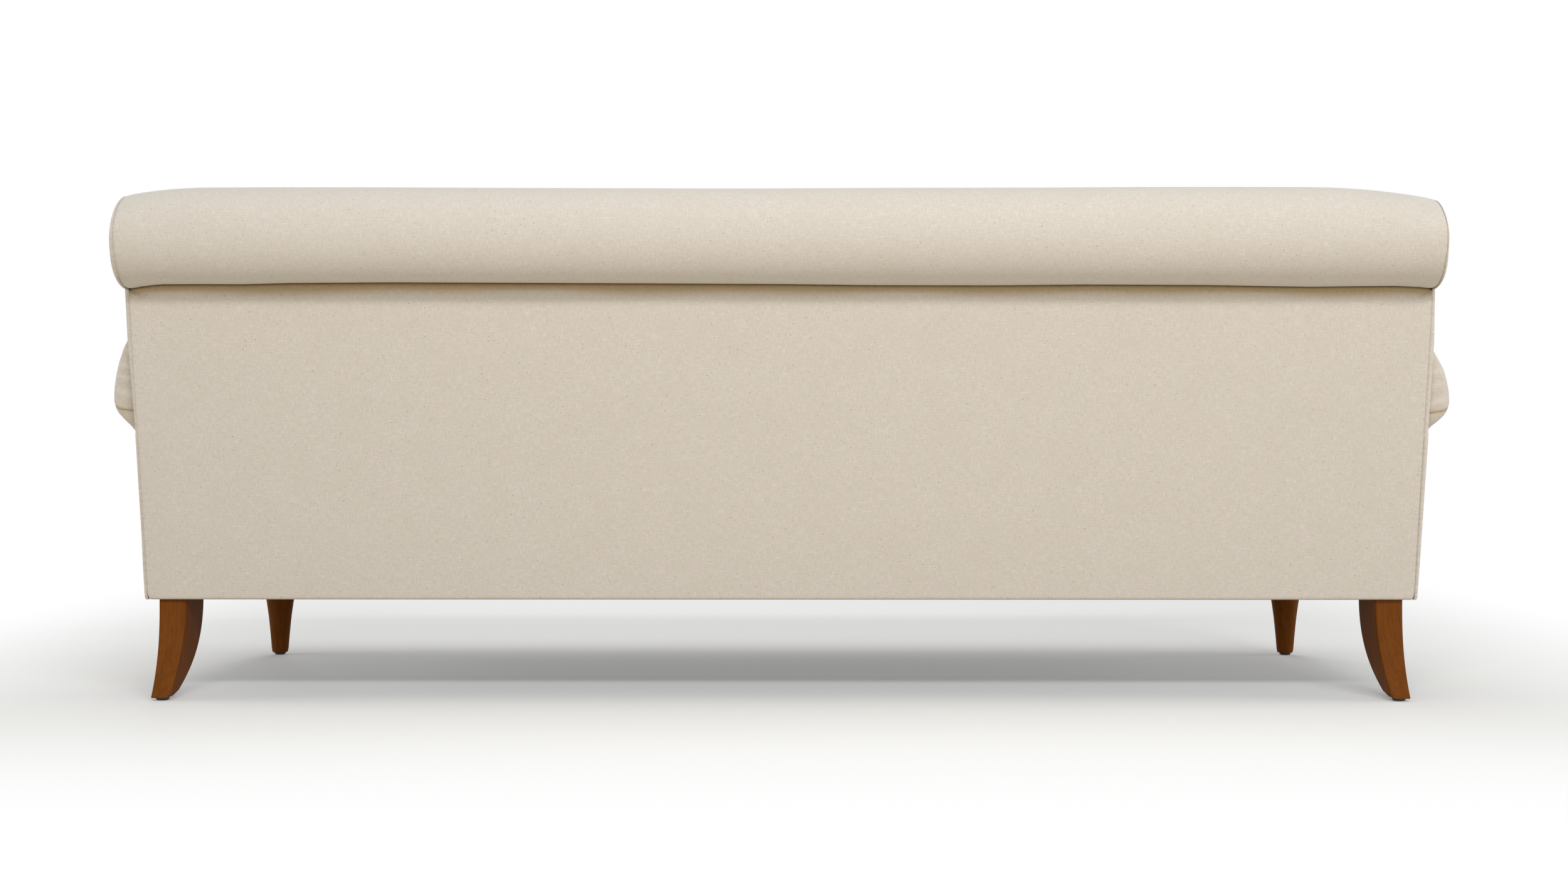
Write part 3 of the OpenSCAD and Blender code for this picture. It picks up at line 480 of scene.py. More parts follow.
def settle(x, y, z):
    """Moves a point of the back's section: the roll sinks at its ends and the crease wavers.
    Both act on y, z arrays and fade away from where they belong."""
    z = z - end_dip(x, z)
    at_crease = np.exp(-(np.hypot(y - CREASE_Y, z - CREASE_Z) / 36.0) ** 2)
    return y, z + crease_drop(x) * at_crease * ease((y - 325) / 20)


def back_cover():
    """Roll and inside back in one length of cloth. X runs between the end seams. The section
    runs from a turned-in edge at the crease round the roll, over the shoulder and down to the
    seat. The cloth sinks into the seams and lies a little unevenly on the stuffing."""
    step = 6.5
    line = chain([(CREASE_Y - 9, CREASE_Z + 9), (CREASE_Y - 7.5, CREASE_Z + 3),
                  (CREASE_Y - 4, CREASE_Z + 0.6)],
                 even(roll_arc(), step), even(shoulder_arc(90, SHOULDER_ANGLE, 40), step),
                 even([(SHOULDER_Y, SHOULDER_Z), (inside_y(COVER_Z), COVER_Z)], 1.6 * step))
    s = run(line)
    y0, z0 = line[:, 0][None], line[:, 1][None]
    x, edge = spread_x(np.where(s < 330, seam_x(z0), END_X), 13 / ROLL_END, 1.4 / ROLL_END)
    P = xyz(x, *settle(x, y0, z0))
    n = outward(P, (0, 270.0, 690.0))
    loose = ease(edge / 60) * ease((s - 20) / 60)[None]
    sink = 1.6 * np.exp(-edge / 2.2) + 1.2 * np.exp(-edge / 11)
    P = P + n * (soft_waves(x, s[None], 1) * 0.9 * loose - sink)[..., None]
    seam = np.minimum(edge, np.maximum(s - 11, 0)[None] + 1.7)
    # Painted shade on the turned-in edge at the crease.
    shade = (0.35 * (s < 9.5))[None]
    return make("back_roll_cover", [grid(P, seam, s[None], None, (0, 270, 690), shade)],
                linen, ("inside_back_cover", "back_pad", "back_roll_core"), CLOTH)


def outside_back():
    """Outside back: one flat length pulled tight from the crease to the underside, turned in at
    the seams and under the rails."""
    z = np.r_[seam_spread(UNDER_Z, CREASE_Z, 13), CREASE_Z + 5, CREASE_Z + 12]
    under = (z - UNDER_Z)[None]
    x, edge = spread_x(seam_x(np.minimum(z, CREASE_Z))[None], 14 / 1074, 1.2 / 1074)
    # Both corners at the foot are drawn in a little.
    x = x - np.sign(x) * 4.0 * np.exp(-under / 5.0) * np.exp(-edge / 6.0)
    y = outside_y(z)[None] - 1.1 * np.exp(-edge / 2.4) - 3.2 * (1 - quarter(under, 5.0))
    free = ease(edge / 50) * ease(under / 50) * ease((CREASE_Z - z)[None] / 60)
    y = y + 1.0 * soft_waves(x, z[None], 3) * free - 0.5 * (1 - ease(edge / 40))
    # The top is turned in and blind-stitched under the roll, which leaves a shadowed groove.
    top = np.maximum(CREASE_Z - z, 0)[None]
    y = y - 6.0 * np.exp(-top / 2.2)
    P = xyz(x, y, z[None] + crease_drop(x) * np.exp(-top / 30))
    seam = np.minimum(edge, 0.6 * top)
    along = np.where(edge < top, z[None], x)
    # Painted shade: a warm darker band just under the roll, added to the real shadow of the roll;
    # its width wavers.
    uneven = 1 + 0.25 * soft_waves(x * 1.4, 0, 9)
    shade = 0.86 * np.exp(-(top / (13.6 * uneven)) ** 4) + 0.04 * np.exp(-top / 12)
    return make("outside_back_panel", [grid(P, seam, along, None, (0, 200, 400), shade)],
                linen, ("outside_back_cover", "outside_back_wadding"), CLOTH)


def draw_in(a, b, d, centre_a, centre_b):
    """Draws the rim of a panel towards its middle, by the distance d to its seam."""
    draw = (1 - quarter(d, 5.0)) * 1.8
    far = np.maximum(np.hypot(a - centre_a, b - centre_b), 1)
    return a - draw * (a - centre_a) / far, b - draw * (b - centre_b) / far


def back_end(label, sign):
    """Padded end of the back. Ribs run from the inside line to the outside line and the roll;
    the cloth rises from the seam in a quarter round and lies nearly flat between."""
    low = TUCK_Z - 9
    rear = chain(even([(outside_y(low), low), (CREASE_Y, CREASE_Z)], 6.0),
                 even(roll_arc(), 4.5))
    knee = int(np.argmin(np.hypot(rear[:, 0] - CREASE_Y, rear[:, 1] - CREASE_Z)))
    front = chain(even([(inside_y(low), low), (SHOULDER_Y, SHOULDER_Z)], 2.0),
                  even(shoulder_arc(SHOULDER_ANGLE, 90, 60), 2.0))
    at_rear, at_front = run(rear), run(front)
    # The rib from the crease ends at this height of the inside line.
    knee_z = 706.0
    turn = np.interp(knee_z, front[:, 1], at_front)
    match = np.interp(at_rear, [0, at_rear[knee], at_rear[-1]], [0, turn, at_front[-1]])
    t = crowded(30)
    y, z = ribs(points_at(front, match), rear, t)
    rim = chain(front, rear[::-1])
    d = distance(y, z, rim[:-1], rim[1:])
    x0 = END_X + (seam_x(rear[:, 1])[:, None] - END_X) * t
    x = x0 - 0.6 + (side_face_x(z, sign) - x0 + 0.6) * quarter(d, 13.0)
    x = x + 0.8 * soft_waves(y + 50 * sign, z, 5) * ease(d / 30)
    y, z = settle(sign * x, y, z)
    # The seam sinks with the cloth of the roll.
    y, z = draw_in(y, z, d, 270.0, 640.0)
    return make(f"back_end_{label}", [grid(xyz(sign * x, y, z), d, at_rear[:, None],
                                           (y * MM, z * MM), (0, 300, 600))], linen,
                (f"back_end_panel_{label}", "back_end_pads"), CLOTH)


def arm_line(step_out=3.2, step_in=9.0):
    """Section of an arm in X, Z: up the inner face, over the top, round to the widest line,
    then under the roll to the side."""
    def over(a0, a1, step):
        return even(arc((ARM_X, ARM_Z), (ARM_A, ARM_H), a0, a1, 60), step)

    # The last point lies just inside the side of the base.
    under = np.array([(SIDE_X + OVERHANG, ARM_Z)] + [
        (SIDE_X + OVERHANG * p - (1.2 if q == 0 else 0), TUCK_Z + TUCK_H * q) for p, q in
        ((0.86, 0.8), (0.58, 0.57), (0.3, 0.36), (0.11, 0.18), (0.0, 0.0))])
    return chain(even([(ARM_IN, COVER_Z), (ARM_IN, ARM_Z)], 1.3 * step_in),
                 over(180, 90, step_in), over(90, 0, step_out), even(under, step_out))


def arm_cover(label, sign):
    """Arm roll: its section runs from the facing to the inside back. Outside the back it goes
    on behind the arm and closes in a round tail, pleated where it meets the back's end."""
    line = arm_line()
    s = run(line)
    x0, z0 = line[:, 0][:, None], line[:, 1][:, None]
    outer = ease((x0 - 1060) / 16)
    y_end = (inside_y(z0) + 9) * (1 - outer) + (outside_y(z0) - TAIL_SET) * outer
    y0 = ARM_Y + FACING_DEPTH
    t = seam_spread(0.0, 1.0, 13 / 560, 1.2 / 560)
    # The rear end has finer steps, for the tail.
    fine_from = 0.86
    t = np.unique(np.r_[t[t < fine_from], np.linspace(fine_from, 1.0, 30)])[None]
    y = y0 + (y_end - y0) * t
    tail_length = 30.0
    tail = np.clip((y - (y_end - tail_length)) / tail_length, 0, 1) * (x0 > 1062)
    close = np.maximum(1 - tail ** 5, 0) ** 0.45
    corner = int(np.argmin(np.hypot(line[:, 0] - SIDE_X - OVERHANG, line[:, 1] - ARM_Z)))
    widest = np.exp(-((s - s[corner])[:, None] / 45) ** 2)
    swell = (3.0 if sign > 0 else 6.5) * widest * ease((y - y_end + 90) / 70)
    root = 1081
    x = np.where(x0 > root, root + (x0 - root + swell) * close, x0)
    # Towards the back the cloth near the widest line rises a little, and drops in the tail.
    all_over, at_end = (-5.0, 18.0) if sign > 0 else (-3.5, 21.0)
    z = z0 - (all_over * ease((y - y_end + 80) / 70) + at_end * tail ** 2) * widest
    if sign < 0:
        x = x - 9.0 * np.exp(-((z0 - 592) / 26) ** 2) * ease((y - y_end + 80) / 60)
    P = xyz(x, y, z)
    n = outward(P, (1034, 0, 480.0))
    rise = s[corner] - s[:, None]
    places = np.array([18.0, 40.0, 58.0, 84.0, 112.0]) + 5 * sign
    folds = sum(np.exp(-((rise - p - 14 * (1 - tail)) / w) ** 2)
                for p, w in zip(places, (4.5, 3.5, 5.0, 4.0, 6.0)))
    front_edge = y - y0
    sink = 1.8 * np.exp(-front_edge / 3.0) + 1.4 * np.exp(-(np.abs(rise) / 2.6))
    inner = ease((front_edge - 20) / 60) * ease((s[:, None] - 60) / 60)
    push = soft_waves(y, s[:, None], 7 + sign) * 1.3 * inner * (1 - tail)
    P = P + n * (push + 2.8 * folds * tail ** 5 * (rise > 3) - sink)[..., None]
    P[..., 0] *= sign
    # Painted shade in the valleys between the pleats, along the tail's seam and on the piece under
    # it.
    shade = (0.85 * np.exp(-(np.abs(rise) / 2.4) ** 2) * (tail > 0) + 0.20 * (rise < 0) * (tail > 0)
             + 0.45 * tail ** 7 * (rise > 3) * (rise < 130) * np.clip(0.5 - folds, 0, 1))
    seam = np.minimum(front_edge, np.abs(rise))
    along = np.where(front_edge < np.abs(rise), s[:, None], y)
    return make(f"arm_roll_{label}", [grid(P, seam, along, None, (1034 * sign, 0, 470), shade)],
                linen, (f"arm_cover_{label}", f"arm_pad_{label}"), CLOTH)


def arm_facing(label, sign):
    """Front of an arm: ribs from its inner edge to its outer edge, flat within a rounded rim."""
    line = arm_line(4.0, 4.0)
    top = int(np.argmax(line[:, 1]))
    inner, outer = line[:top + 1], chain(line[top:], [(SIDE_X - 2.0, COVER_Z)])[::-1]
    t = np.linspace(0, 1, 90)
    up = t * run(inner)[-1]
    x, z = ribs(points_at(inner, up), points_at(outer, t * run(outer)[-1]), crowded(26))
    rim = chain(inner, outer[::-1])
    d = distance(x, z, rim[:-1], rim[1:])
    x, z = draw_in(x, z, d, ARM_X, 460.0)
    y = ARM_Y + FACING_DEPTH * (1 - quarter(d, 9.0)) + 0.5 - 0.5 * ease(d / 30)
    return make(f"arm_front_{label}", [grid(xyz(sign * x, y, z), d, up[:, None],
                                            (x * MM, z * MM), (1034 * sign, 0, 470))], linen,
                (f"arm_facing_{label}", "arm_facing_pads"), CLOTH)


def outside_arm(label, sign):
    """Side of the base and of the lower arm: a tight panel that rounds over both upright corners
    to its seams and turns under at the foot. A low part in front of the arm turns in over the
    deck; the two share a column of points."""
    lip = DECK_Z - 2
    low = seam_spread(UNDER_Z, lip, 12)
    start = ARM_Y + FACING_DEPTH

    def panel(z, y0, y1, front, turn=0.0):
        y = y0[None] + (y1 - y0)[None] * seam_spread(0.0, 1.0, 0.02, 0.0018)[:, None]
        zz = z[None] + 0 * y
        rear, front = outside_y(zz) - y, front(y, zz)
        x = seam_x(zz) + (side_face_x(zz, sign) - seam_x(zz)) * quarter(rear, 9.0)
        x = x - 3.5 * (1 - quarter(front, 6.0)) - 2.5 * (1 - quarter(zz - UNDER_Z, 5.0)) - turn
        loose = ease(rear / 50) * ease(front / 50) * ease((zz - UNDER_Z) / 50)
        x = x + 0.9 * soft_waves(y, zz, 11 + sign) * loose
        return grid(xyz(sign * x, y, zz), np.minimum(rear, front), zz,
                    (y * MM, zz * MM), (0, 0, 300))

    high = np.r_[low, np.linspace(lip, TUCK_Z + 7, 14)[1:]]
    behind = panel(high, 0 * high + start, outside_y(high),
                   lambda y, z: y - start + 60 * ease((DECK_Z + 6 - z) / 8))
    turned_in = np.r_[low, DECK_Z - 0.9, DECK_Z - 0.2, DECK_Z - 0.4]
    edge = FRONT_Y + 0.8 + EDGE_R * (1 - quarter(DECK_Z - np.minimum(turned_in, lip), EDGE_R))
    before = panel(turned_in, edge, 0 * edge + start, lambda y, z: y - edge[None],
                   np.r_[0 * low, 0.8, 3.0, 8.0][None])
    return make(f"outside_arm_{label}", [behind, before], linen,
                (f"outside_arm_cover_{label}", "outside_arm_wadding"), CLOTH)


def front_border():
    """Front border: up from under the rail, over the padded edge, and back over the deck."""
    r, half = EDGE_R, 1078.3
    line = chain(even([(FRONT_Y + 3, UNDER_Z), (FRONT_Y + 0.6, UNDER_Z + 4)], 1.5),
                 even([(FRONT_Y + 0.6, UNDER_Z + 4), (FRONT_Y, DECK_Z - r)], 9),
                 even(arc((FRONT_Y + r, DECK_Z - r), r, 180, 90, 20), 3),
                 even([(FRONT_Y + r, DECK_Z), (LIP_Y, DECK_Z)], 8))
    s = run(line)
    x, edge = spread_x(half, 14 / 1078, 1.2 / 1078)
    z = line[:, 1][None]
    P = xyz(x, line[:, 0][None], z)
    n = outward(P, (0, -350.0, 250.0))
    up = ease((z - UNDER_Z - 10) / 40) * ease((DECK_Z - 22 - z) / 40)
    sink = 2.0 * np.exp(-edge / 3.0) + 1.6 * np.exp(-(s[-1] - s)[None] / 3.0)
    bulge = (1.4 * up + 0.8 * soft_waves(x, s[None], 13) * up) * ease(edge / 40)
    P = P + n * (bulge - sink)[..., None]
    seam = np.minimum(edge, (s[-1] - s)[None])
    return make("front_border", [grid(P, seam, x, inside=(0, -350, 250))], linen,
                ("front_border_cover", "front_border_wadding", "seat_edge_roll"), CLOTH)


def deck():
    """Deck under the cushions: flat twill between the arms, with a strip in front of them, sunk
    a little at its edges."""
    y1 = inside_y(DECK_Z) + 2
    main_x, main_y = seam_spread(-ARM_IN - 1.0, ARM_IN + 1.0, 15), seam_spread(ARM_Y + 3, y1, 15)
    parts = []
    for xs, ys in ((main_x, main_y), (np.r_[-1079.0, -1050, -1000, main_x, 1000, 1050, 1079.0],
                                      np.array([LIP_Y, LIP_Y + 4, LIP_Y + 12, ARM_Y + 3]))):
        x, y = np.meshgrid(xs, ys, indexing="ij")
        seam = y - LIP_Y
        z = DECK_Z - 0.3 - 1.4 * np.exp(-seam / 3.0)
        parts.append(grid(xyz(x, y, z), seam, x, (x * MM, y * MM), (0, 0, 0)))
    return make("deck_cover", parts, deck_twill, ("deck_cloth", "deck_pad"), CLOTH)


def dust_cover():
    """Cambric under the frame: stapled at its edges, it hangs down 0.7 mm between them."""
    half, front, rear = 1078, FRONT_Y + 3, outside_y(UNDER_Z) - 4
    x, y = np.meshgrid(np.linspace(-half, half, 90), np.linspace(front, rear, 36), indexing="ij")
    edge = np.minimum(half - np.abs(x), np.minimum(y - front, rear - y))
    pinch = 0.5 * np.sin(x / 9.0) * np.exp(-edge / 20)
    z = UNDER_Z + 0.9 - 0.7 * ease(edge / 160) + pinch * 0.3
    return make("dust_sheet", [grid(xyz(x, y, z), uv=(x * MM, y * MM), inside=(0, 0, 400))],
                cambric, ("dust_cover",), 0.6)


def both(build):
    """The left and the right piece of a pair."""
    return [build(label, sign) for label, sign in SIDES.items()]


back_roll, outside, border = back_cover(), outside_back(), front_border()
deck_piece, dust = deck(), dust_cover()
ends, arms, fronts = both(back_end), both(arm_cover), both(arm_facing)
panels = both(outside_arm)

# Seat cushions. A gap stays round each; the cages are cut smaller by the inset.
GAP, INSET, CUSHION_FRONT = 1.6, 4.5, -445.0
HALF = (2 * ARM_IN - 2 * GAP) / 6 - GAP / 2
ARM_SIDE, ARM_FRONT = ARM_IN - GAP, ARM_Y - GAP
LOW_SEAM, HIGH_SEAM, CROWN, CROWN_RUN = DECK_Z + 13.3, DECK_Z + 103.3, 27.0, 240.0


def cushion_plan(kind):
    """X lines, Y lines of the front part and shares of the rear part of a cushion's plan, and
    the number of X cells that the rear part has. An end cushion reaches round the arm's front."""
    pitch = 9.5
    if kind == "middle":
        xs = np.linspace(-HALF + INSET, HALF - INSET, int(2 * HALF / pitch) + 1)
        main = len(xs) - 1
    else:
        x0, x1, x2 = HALF + GAP, ARM_SIDE, SIDE_X - GAP
        first = np.linspace(x0 + INSET, x1 - INSET, int((x1 - x0) / pitch) + 1)
        xs = np.r_[first, np.linspace(x1 - INSET, x2 - INSET, int((x2 - x1) / pitch) + 1)[1:]]
        main = len(first) - 1
    front = np.linspace(CUSHION_FRONT + INSET, ARM_FRONT - INSET, 15)
    return xs, front, np.linspace(0, 1, 47)[1:], main


def cushion_cage(kind):
    """Closed cage of a boxed cushion: a bottom, a side band between its two seams and a crowned
    top. Every patch is a lattice, so the seams are lines of it, and it is cut smaller all round
    than the finished cushion, which swells when it is stuffed."""
    xs, front, shares, main = cushion_plan(kind)
    nx, ny = len(xs), len(front) + len(shares)
    cell = np.ones((nx - 1, ny - 1), bool)
    cell[main:, len(front) - 1:] = False

    def place(i, j, z):
        """Points of the lattice at a height; the rear edge follows the inside back's slope."""
        rear = inside_y(z) - GAP - INSET
        y_front = front[np.minimum(j, len(front) - 1)]
        k = np.clip(j - len(front), 0, len(shares) - 1)
        y = np.where(j < len(front), y_front, front[-1] + (rear - front[-1]) * shares[k])
        x = xs[i]
        u = (x - xs[0]) / (xs[-1] - xs[0])
        v = (y - front[0]) / (rear - front[0])
        # The four sides are drawn in by this much at their middles.
        waist = 5
        return xyz(x + waist * (1 - 2 * u) * 4 * v * (1 - v),
                   y + waist * (1 - 2 * v) * 4 * u * (1 - u), z)

    i, j = np.nonzero(cell)
    square = np.stack([np.stack([i, i + 1, i + 1, i], 1), np.stack([j, j, j + 1, j + 1], 1)], -1)
    pad = np.pad(cell, 1)
    sides = []
    for di, dj, edge in ((-1, 0, ((0, 1), (0, 0))), (1, 0, ((1, 0), (1, 1))),
                         (0, -1, ((0, 0), (1, 0))), (0, 1, ((1, 1), (0, 1)))):
        a, b = np.nonzero(cell & ~pad[1 + di:nx + di, 1 + dj:ny + dj])
        sides.append(np.stack([np.stack([a + p[0], b + p[1]], 1) for p in edge], 1))
    rim = np.concatenate(sides)

    def sheet(z, rise, drop):
        p = place(square[..., 0], square[..., 1], z)
        line = place(rim[:, :, 0], rim[:, :, 1], z)[..., :2]
        d = distance(p[..., 0], p[..., 1], line[:, 0], line[:, 1])
        p[..., 2] += rise * (1 - (1 - np.clip(d / CROWN_RUN, 0, 1)) ** 2.4)
        p[..., 2] -= drop * (1 - (1 - np.clip(d / 26, 0, 1)) ** 2)
        return np.concatenate([p, p[..., :2] * MM, d[..., None], p[..., :1] + p[..., 1:2],
                               0 * p[..., :1]], -1)

    top = sheet(HIGH_SEAM, CROWN, 0.0)
    bottom = sheet(LOW_SEAM, 0.0, 12.6)[:, ::-1]
    levels = np.linspace(LOW_SEAM, HIGH_SEAM, 11)
    band = []
    for z0, z1 in zip(levels[:-1], levels[1:]):
        a, b = rim[:, 0], rim[:, 1]
        ring = [place(p[:, 0], p[:, 1], z) for p, z in ((b, z0), (a, z0), (a, z1), (b, z1))]
        p = np.stack(ring, 1)
        way = np.cross(ring[0] - ring[1], np.array([0, 0, 1.0]))
        way /= np.maximum(np.linalg.norm(way, axis=1, keepdims=True), 1e-9)
        flat = np.abs(way[:, :1]) > 0.5
        u = np.where(flat, p[..., 1], p[..., 0])
        d = np.minimum(p[..., 2] - LOW_SEAM, HIGH_SEAM - p[..., 2])
        band.append(np.concatenate([p, np.stack([u * MM, p[..., 2] * MM, d, u, 0 * u], -1)], -1))
    corners = np.concatenate([top, bottom] + band)
    return corners.reshape(-1, 8), np.arange(len(corners) * 4).reshape(-1, 4)


def read(items, label, width, kind=np.float32):
    """One value or vector from each of a mesh's items, as an array."""
    out = np.empty(len(items) * width, kind)
    items.foreach_get(label, out)
    return out.reshape(-1, width) if width > 1 else out


def stuff(piece, pressure, cap):
    """Blows the cage up as cloth for some frames, without gravity. The foam inside holds the two
    seams where they are, and each point stays within a cap of where it was, in metres."""
    frames = 20
    start = read(piece.data.vertices, "co", 3, float)
    held = piece.vertex_groups.new(name="seams")
    at_seam = read(piece.data.attributes["seam"].data, "value", 1) < 0.3
    held.add(np.nonzero(at_seam)[0].tolist(), 1.0, "REPLACE")
    cloth = piece.modifiers.new("stuffing", "CLOTH")
    s = cloth.settings
    s.vertex_group_mass = held.name
    s.quality, s.mass, s.use_pressure, s.uniform_pressure_force = 6, 0.35, True, pressure
    s.tension_stiffness = s.compression_stiffness = 18
    s.shear_stiffness, s.bending_stiffness = 6, 0.6
    s.effector_weights.gravity = 0
    cloth.point_cache.frame_start, cloth.point_cache.frame_end = 1, frames
    scene = bpy.context.scene
    for frame_number in range(1, frames + 1):
        scene.frame_set(frame_number)
    blown = piece.evaluated_get(bpy.context.evaluated_depsgraph_get())
    moved = read(blown.to_mesh().vertices, "co", 3, float) - start
    blown.to_mesh_clear()
    piece.modifiers.clear()
    piece.vertex_groups.clear()
    scene.frame_set(1)
    length = np.maximum(np.linalg.norm(moved, axis=1, keepdims=True), 1e-9)
    piece.data.vertices.foreach_set("co", (start + moved / length * cap
                                           * np.tanh(length / cap)).ravel())
    piece.data.update()


def cushion(label):
    """A loose seat cushion: stuffed as cloth, then smoothed once, kept clear of its neighbours,
    and drawn in along its seams, where the stitches gather it."""
    kind = "middle" if label == "middle" else "end"
    sign = SIDES.get(label, 1.0)
    points, quads = cushion_cage(kind)
    piece = make(f"seat_cushion_{label}", [(points, quads)], cushion_linen, ride=False)
    stuff(piece, 5.0, 0.016)
    smooth = piece.modifiers.new("smooth", "SUBSURF")
    smooth.levels = smooth.render_levels = 1
    smooth.boundary_smooth = "ALL"
    graph = bpy.context.evaluated_depsgraph_get()
    mesh = bpy.data.meshes.new_from_object(piece.evaluated_get(graph), depsgraph=graph)
    piece.modifiers.clear()
    piece.data = mesh
    p, n = read(mesh.vertices, "co", 3, float) / MM, read(mesh.vertex_normals, "vector", 3)
    seam, along = (read(mesh.attributes[label].data, "value", 1) for label in ("seam", "along"))
    x, y, z = p.T
    ripple = np.sin(along / 3.6 + 1.5 * np.sin(along / 31.0)) * np.exp(-seam / 16) * 0.7
    uneven = soft_waves(x * 1.3, y * 1.3 + z, 21 + len(label)) * 2.2 * ease(seam / 60)
    x, y, z = (p + n * (uneven + ripple - 2.6 * np.exp(-seam / 3.2))[:, None]).T
    # Room that the deck, the arms, the back and the next cushions leave.
    low_x, high_x = (-HALF, HALF) if kind == "middle" else (HALF + GAP, SIDE_X - GAP)
    x = np.clip(x, low_x, high_x)
    if kind == "end":
        # A point that is inside the arm moves out by the shorter way.
        in_arm = (x > ARM_SIDE) & (y > ARM_FRONT)
        x = np.where(in_arm & (y - ARM_FRONT > x - ARM_SIDE), ARM_SIDE, x)
        y = np.where((x > ARM_SIDE) & (y > ARM_FRONT), ARM_FRONT, y)
    y = np.clip(y, CUSHION_FRONT, inside_y(z) - GAP)
    z = np.clip(z, DECK_Z + 0.3, DECK_Z + 152.0)
    mesh.vertices.foreach_set("co", (np.stack([x, y, z], 1) * MM).ravel())
    mesh.update()
    if sign < 0:
        mesh.transform(((-1, 0, 0, 0), (0, 1, 0, 0), (0, 0, 1, 0), (0, 0, 0, 1)))
        mesh.flip_normals()
    mesh.shade_smooth()
    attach(piece, f"seat_cushion_{label}")
    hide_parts(f"seat_cushion_cover_{label}", f"seat_cushion_core_{label}")


for label in ("left", "middle", "right"):
    cushion(label)

# Legs and glides. The rear legs sweep back from LEG_Y.

LEG_X, LEG_Y, GLIDE_H, SWEEP = 1037.0, outside_y(UNDER_Z) - 10.0, 5.0, 52
FRONT_LEG_X, FRONT_LEG_Y, FRONT_LEG_R = 1028.0, -378.0, 33.0


def rear_leg(label, sign):
    """Sabre leg: rounded oblong sections that sweep back and narrow from top to foot, with a
    slanting cut on the inner side of the foot."""
    s = np.r_[np.linspace(0, 0.94, 48), np.linspace(0.945, 0.985, 12), 0.992, 0.997, 1.0][:, None]
    z = UNDER_Z - (UNDER_Z - GLIDE_H) * s
    # Depth and half width from top to foot, and how far the foot stands out to the side.
    y_rear = LEG_Y + SWEEP * s ** 2.2
    y_front = y_rear - 96 + 62 * s ** 3.6
    half = 24 - 8.5 * s ** 1.7
    out = 4.0 * s ** 2.5
    a = np.linspace(0, 2 * np.pi, 97)[None]
    # Oblong with arrises rounded to about 2.5 mm: a superellipse of high power.
    cx, cy = (np.sign(c) * np.abs(c) ** (2 / 14) for c in (np.cos(a), np.sin(a)))
    eased = 1 - 0.05 * np.exp(-(1 - s) / 0.004)
    x = LEG_X + out + half * cx * eased
    y = (y_rear + y_front) / 2 + (y_rear - y_front) / 2 * cy * eased
    cut_h = 7.0
    cut = LEG_X - 11.5 + np.clip(cut_h - (z - GLIDE_H), 0, cut_h) * 0.62
    x = np.maximum(x, np.where(z < GLIDE_H + cut_h, cut, -1e9))
    P = xyz(sign * x, y, z)
    # Both ends are closed by two rings that shrink to a point.
    top, foot = P[:1], P[-1:]
    top_c, foot_c = top.mean(1, keepdims=True), foot.mean(1, keepdims=True)
    P = np.concatenate([top_c + 0 * top, top_c + (top - top_c) * 0.5, P,
                        foot_c + (foot - foot_c) * 0.5, foot_c + 0 * foot])
    girth = np.broadcast_to(np.linspace(0, 0.2, 97)[None], P.shape[:2])
    return make(f"rear_leg_{label}_carved",
                [grid(P, uv=(girth, P[..., 2] * MM), inside=(sign * LEG_X, LEG_Y - 20, 90))],
                walnut, (f"rear_leg_{label}",))


def turned(name, profile, centres, finish, stands_for, n=72):
    """Turned pieces: a profile of radius and height swept round upright axes."""
    first = 0.6
    a = np.linspace(0, 2 * np.pi, n + 1)[:, None] + first
    r, z = np.asarray(profile, float).T
    parts = [grid(xyz(x + r * np.cos(a), y + r * np.sin(a), z), inside=(x, y, z.mean()))
             for x, y in centres]
    make(name, parts, finish, stands_for)


# Radius and height of the front leg as shares of the whole: a slim foot, a swelling body, a
# cove, a ring, a collar.
front_profile = np.array([
    (0.44, 0.0), (0.465, 0.01), (0.5, 0.04), (0.53, 0.11), (0.565, 0.2), (0.62, 0.32), (0.68, 0.44),
    (0.745, 0.54), (0.8, 0.62), (0.845, 0.675), (0.858, 0.7), (0.84, 0.716), (0.8, 0.728),
    (0.782, 0.742), (0.782, 0.766), (0.8, 0.778), (0.86, 0.788), (0.93, 0.8), (0.972, 0.816),
    (0.995, 0.838), (1.0, 0.86), (0.995, 0.882), (0.97, 0.902), (0.935, 0.914), (0.92, 0.925),
    (0.92, 0.99), (0.91, 1.0)])
leg_h = UNDER_Z - GLIDE_H
front_profile *= [FRONT_LEG_R, leg_h]
fine = points_at(front_profile, np.linspace(0, 1, 220) * run(front_profile)[-1])
leg_shape = np.concatenate([[[0, 0]], fine, [[0, leg_h]]]) + [0, GLIDE_H]

both(rear_leg)
for label, sign in SIDES.items():
    turned(f"front_leg_{label}_turned", leg_shape, [(sign * FRONT_LEG_X, FRONT_LEG_Y)], walnut,
           (f"front_leg_{label}",))

foot_y = LEG_Y + SWEEP - 17.0
glide_profile = [(0, 0), (7, 0.0), (9, 0.3), (10.3, 1.1), (10.9, 2.2), (11, 3.4), (10.8, 4.4),
                 (10.2, 4.95), (0, 5.0)]
glide_places = [(s * (LEG_X + 4.5), foot_y) for s in (-1, 1)] + [
    (s * FRONT_LEG_X, FRONT_LEG_Y) for s in (-1, 1)]
turned("nail_glides", glide_profile, glide_places, glide_plastic, ("glides",), 48)


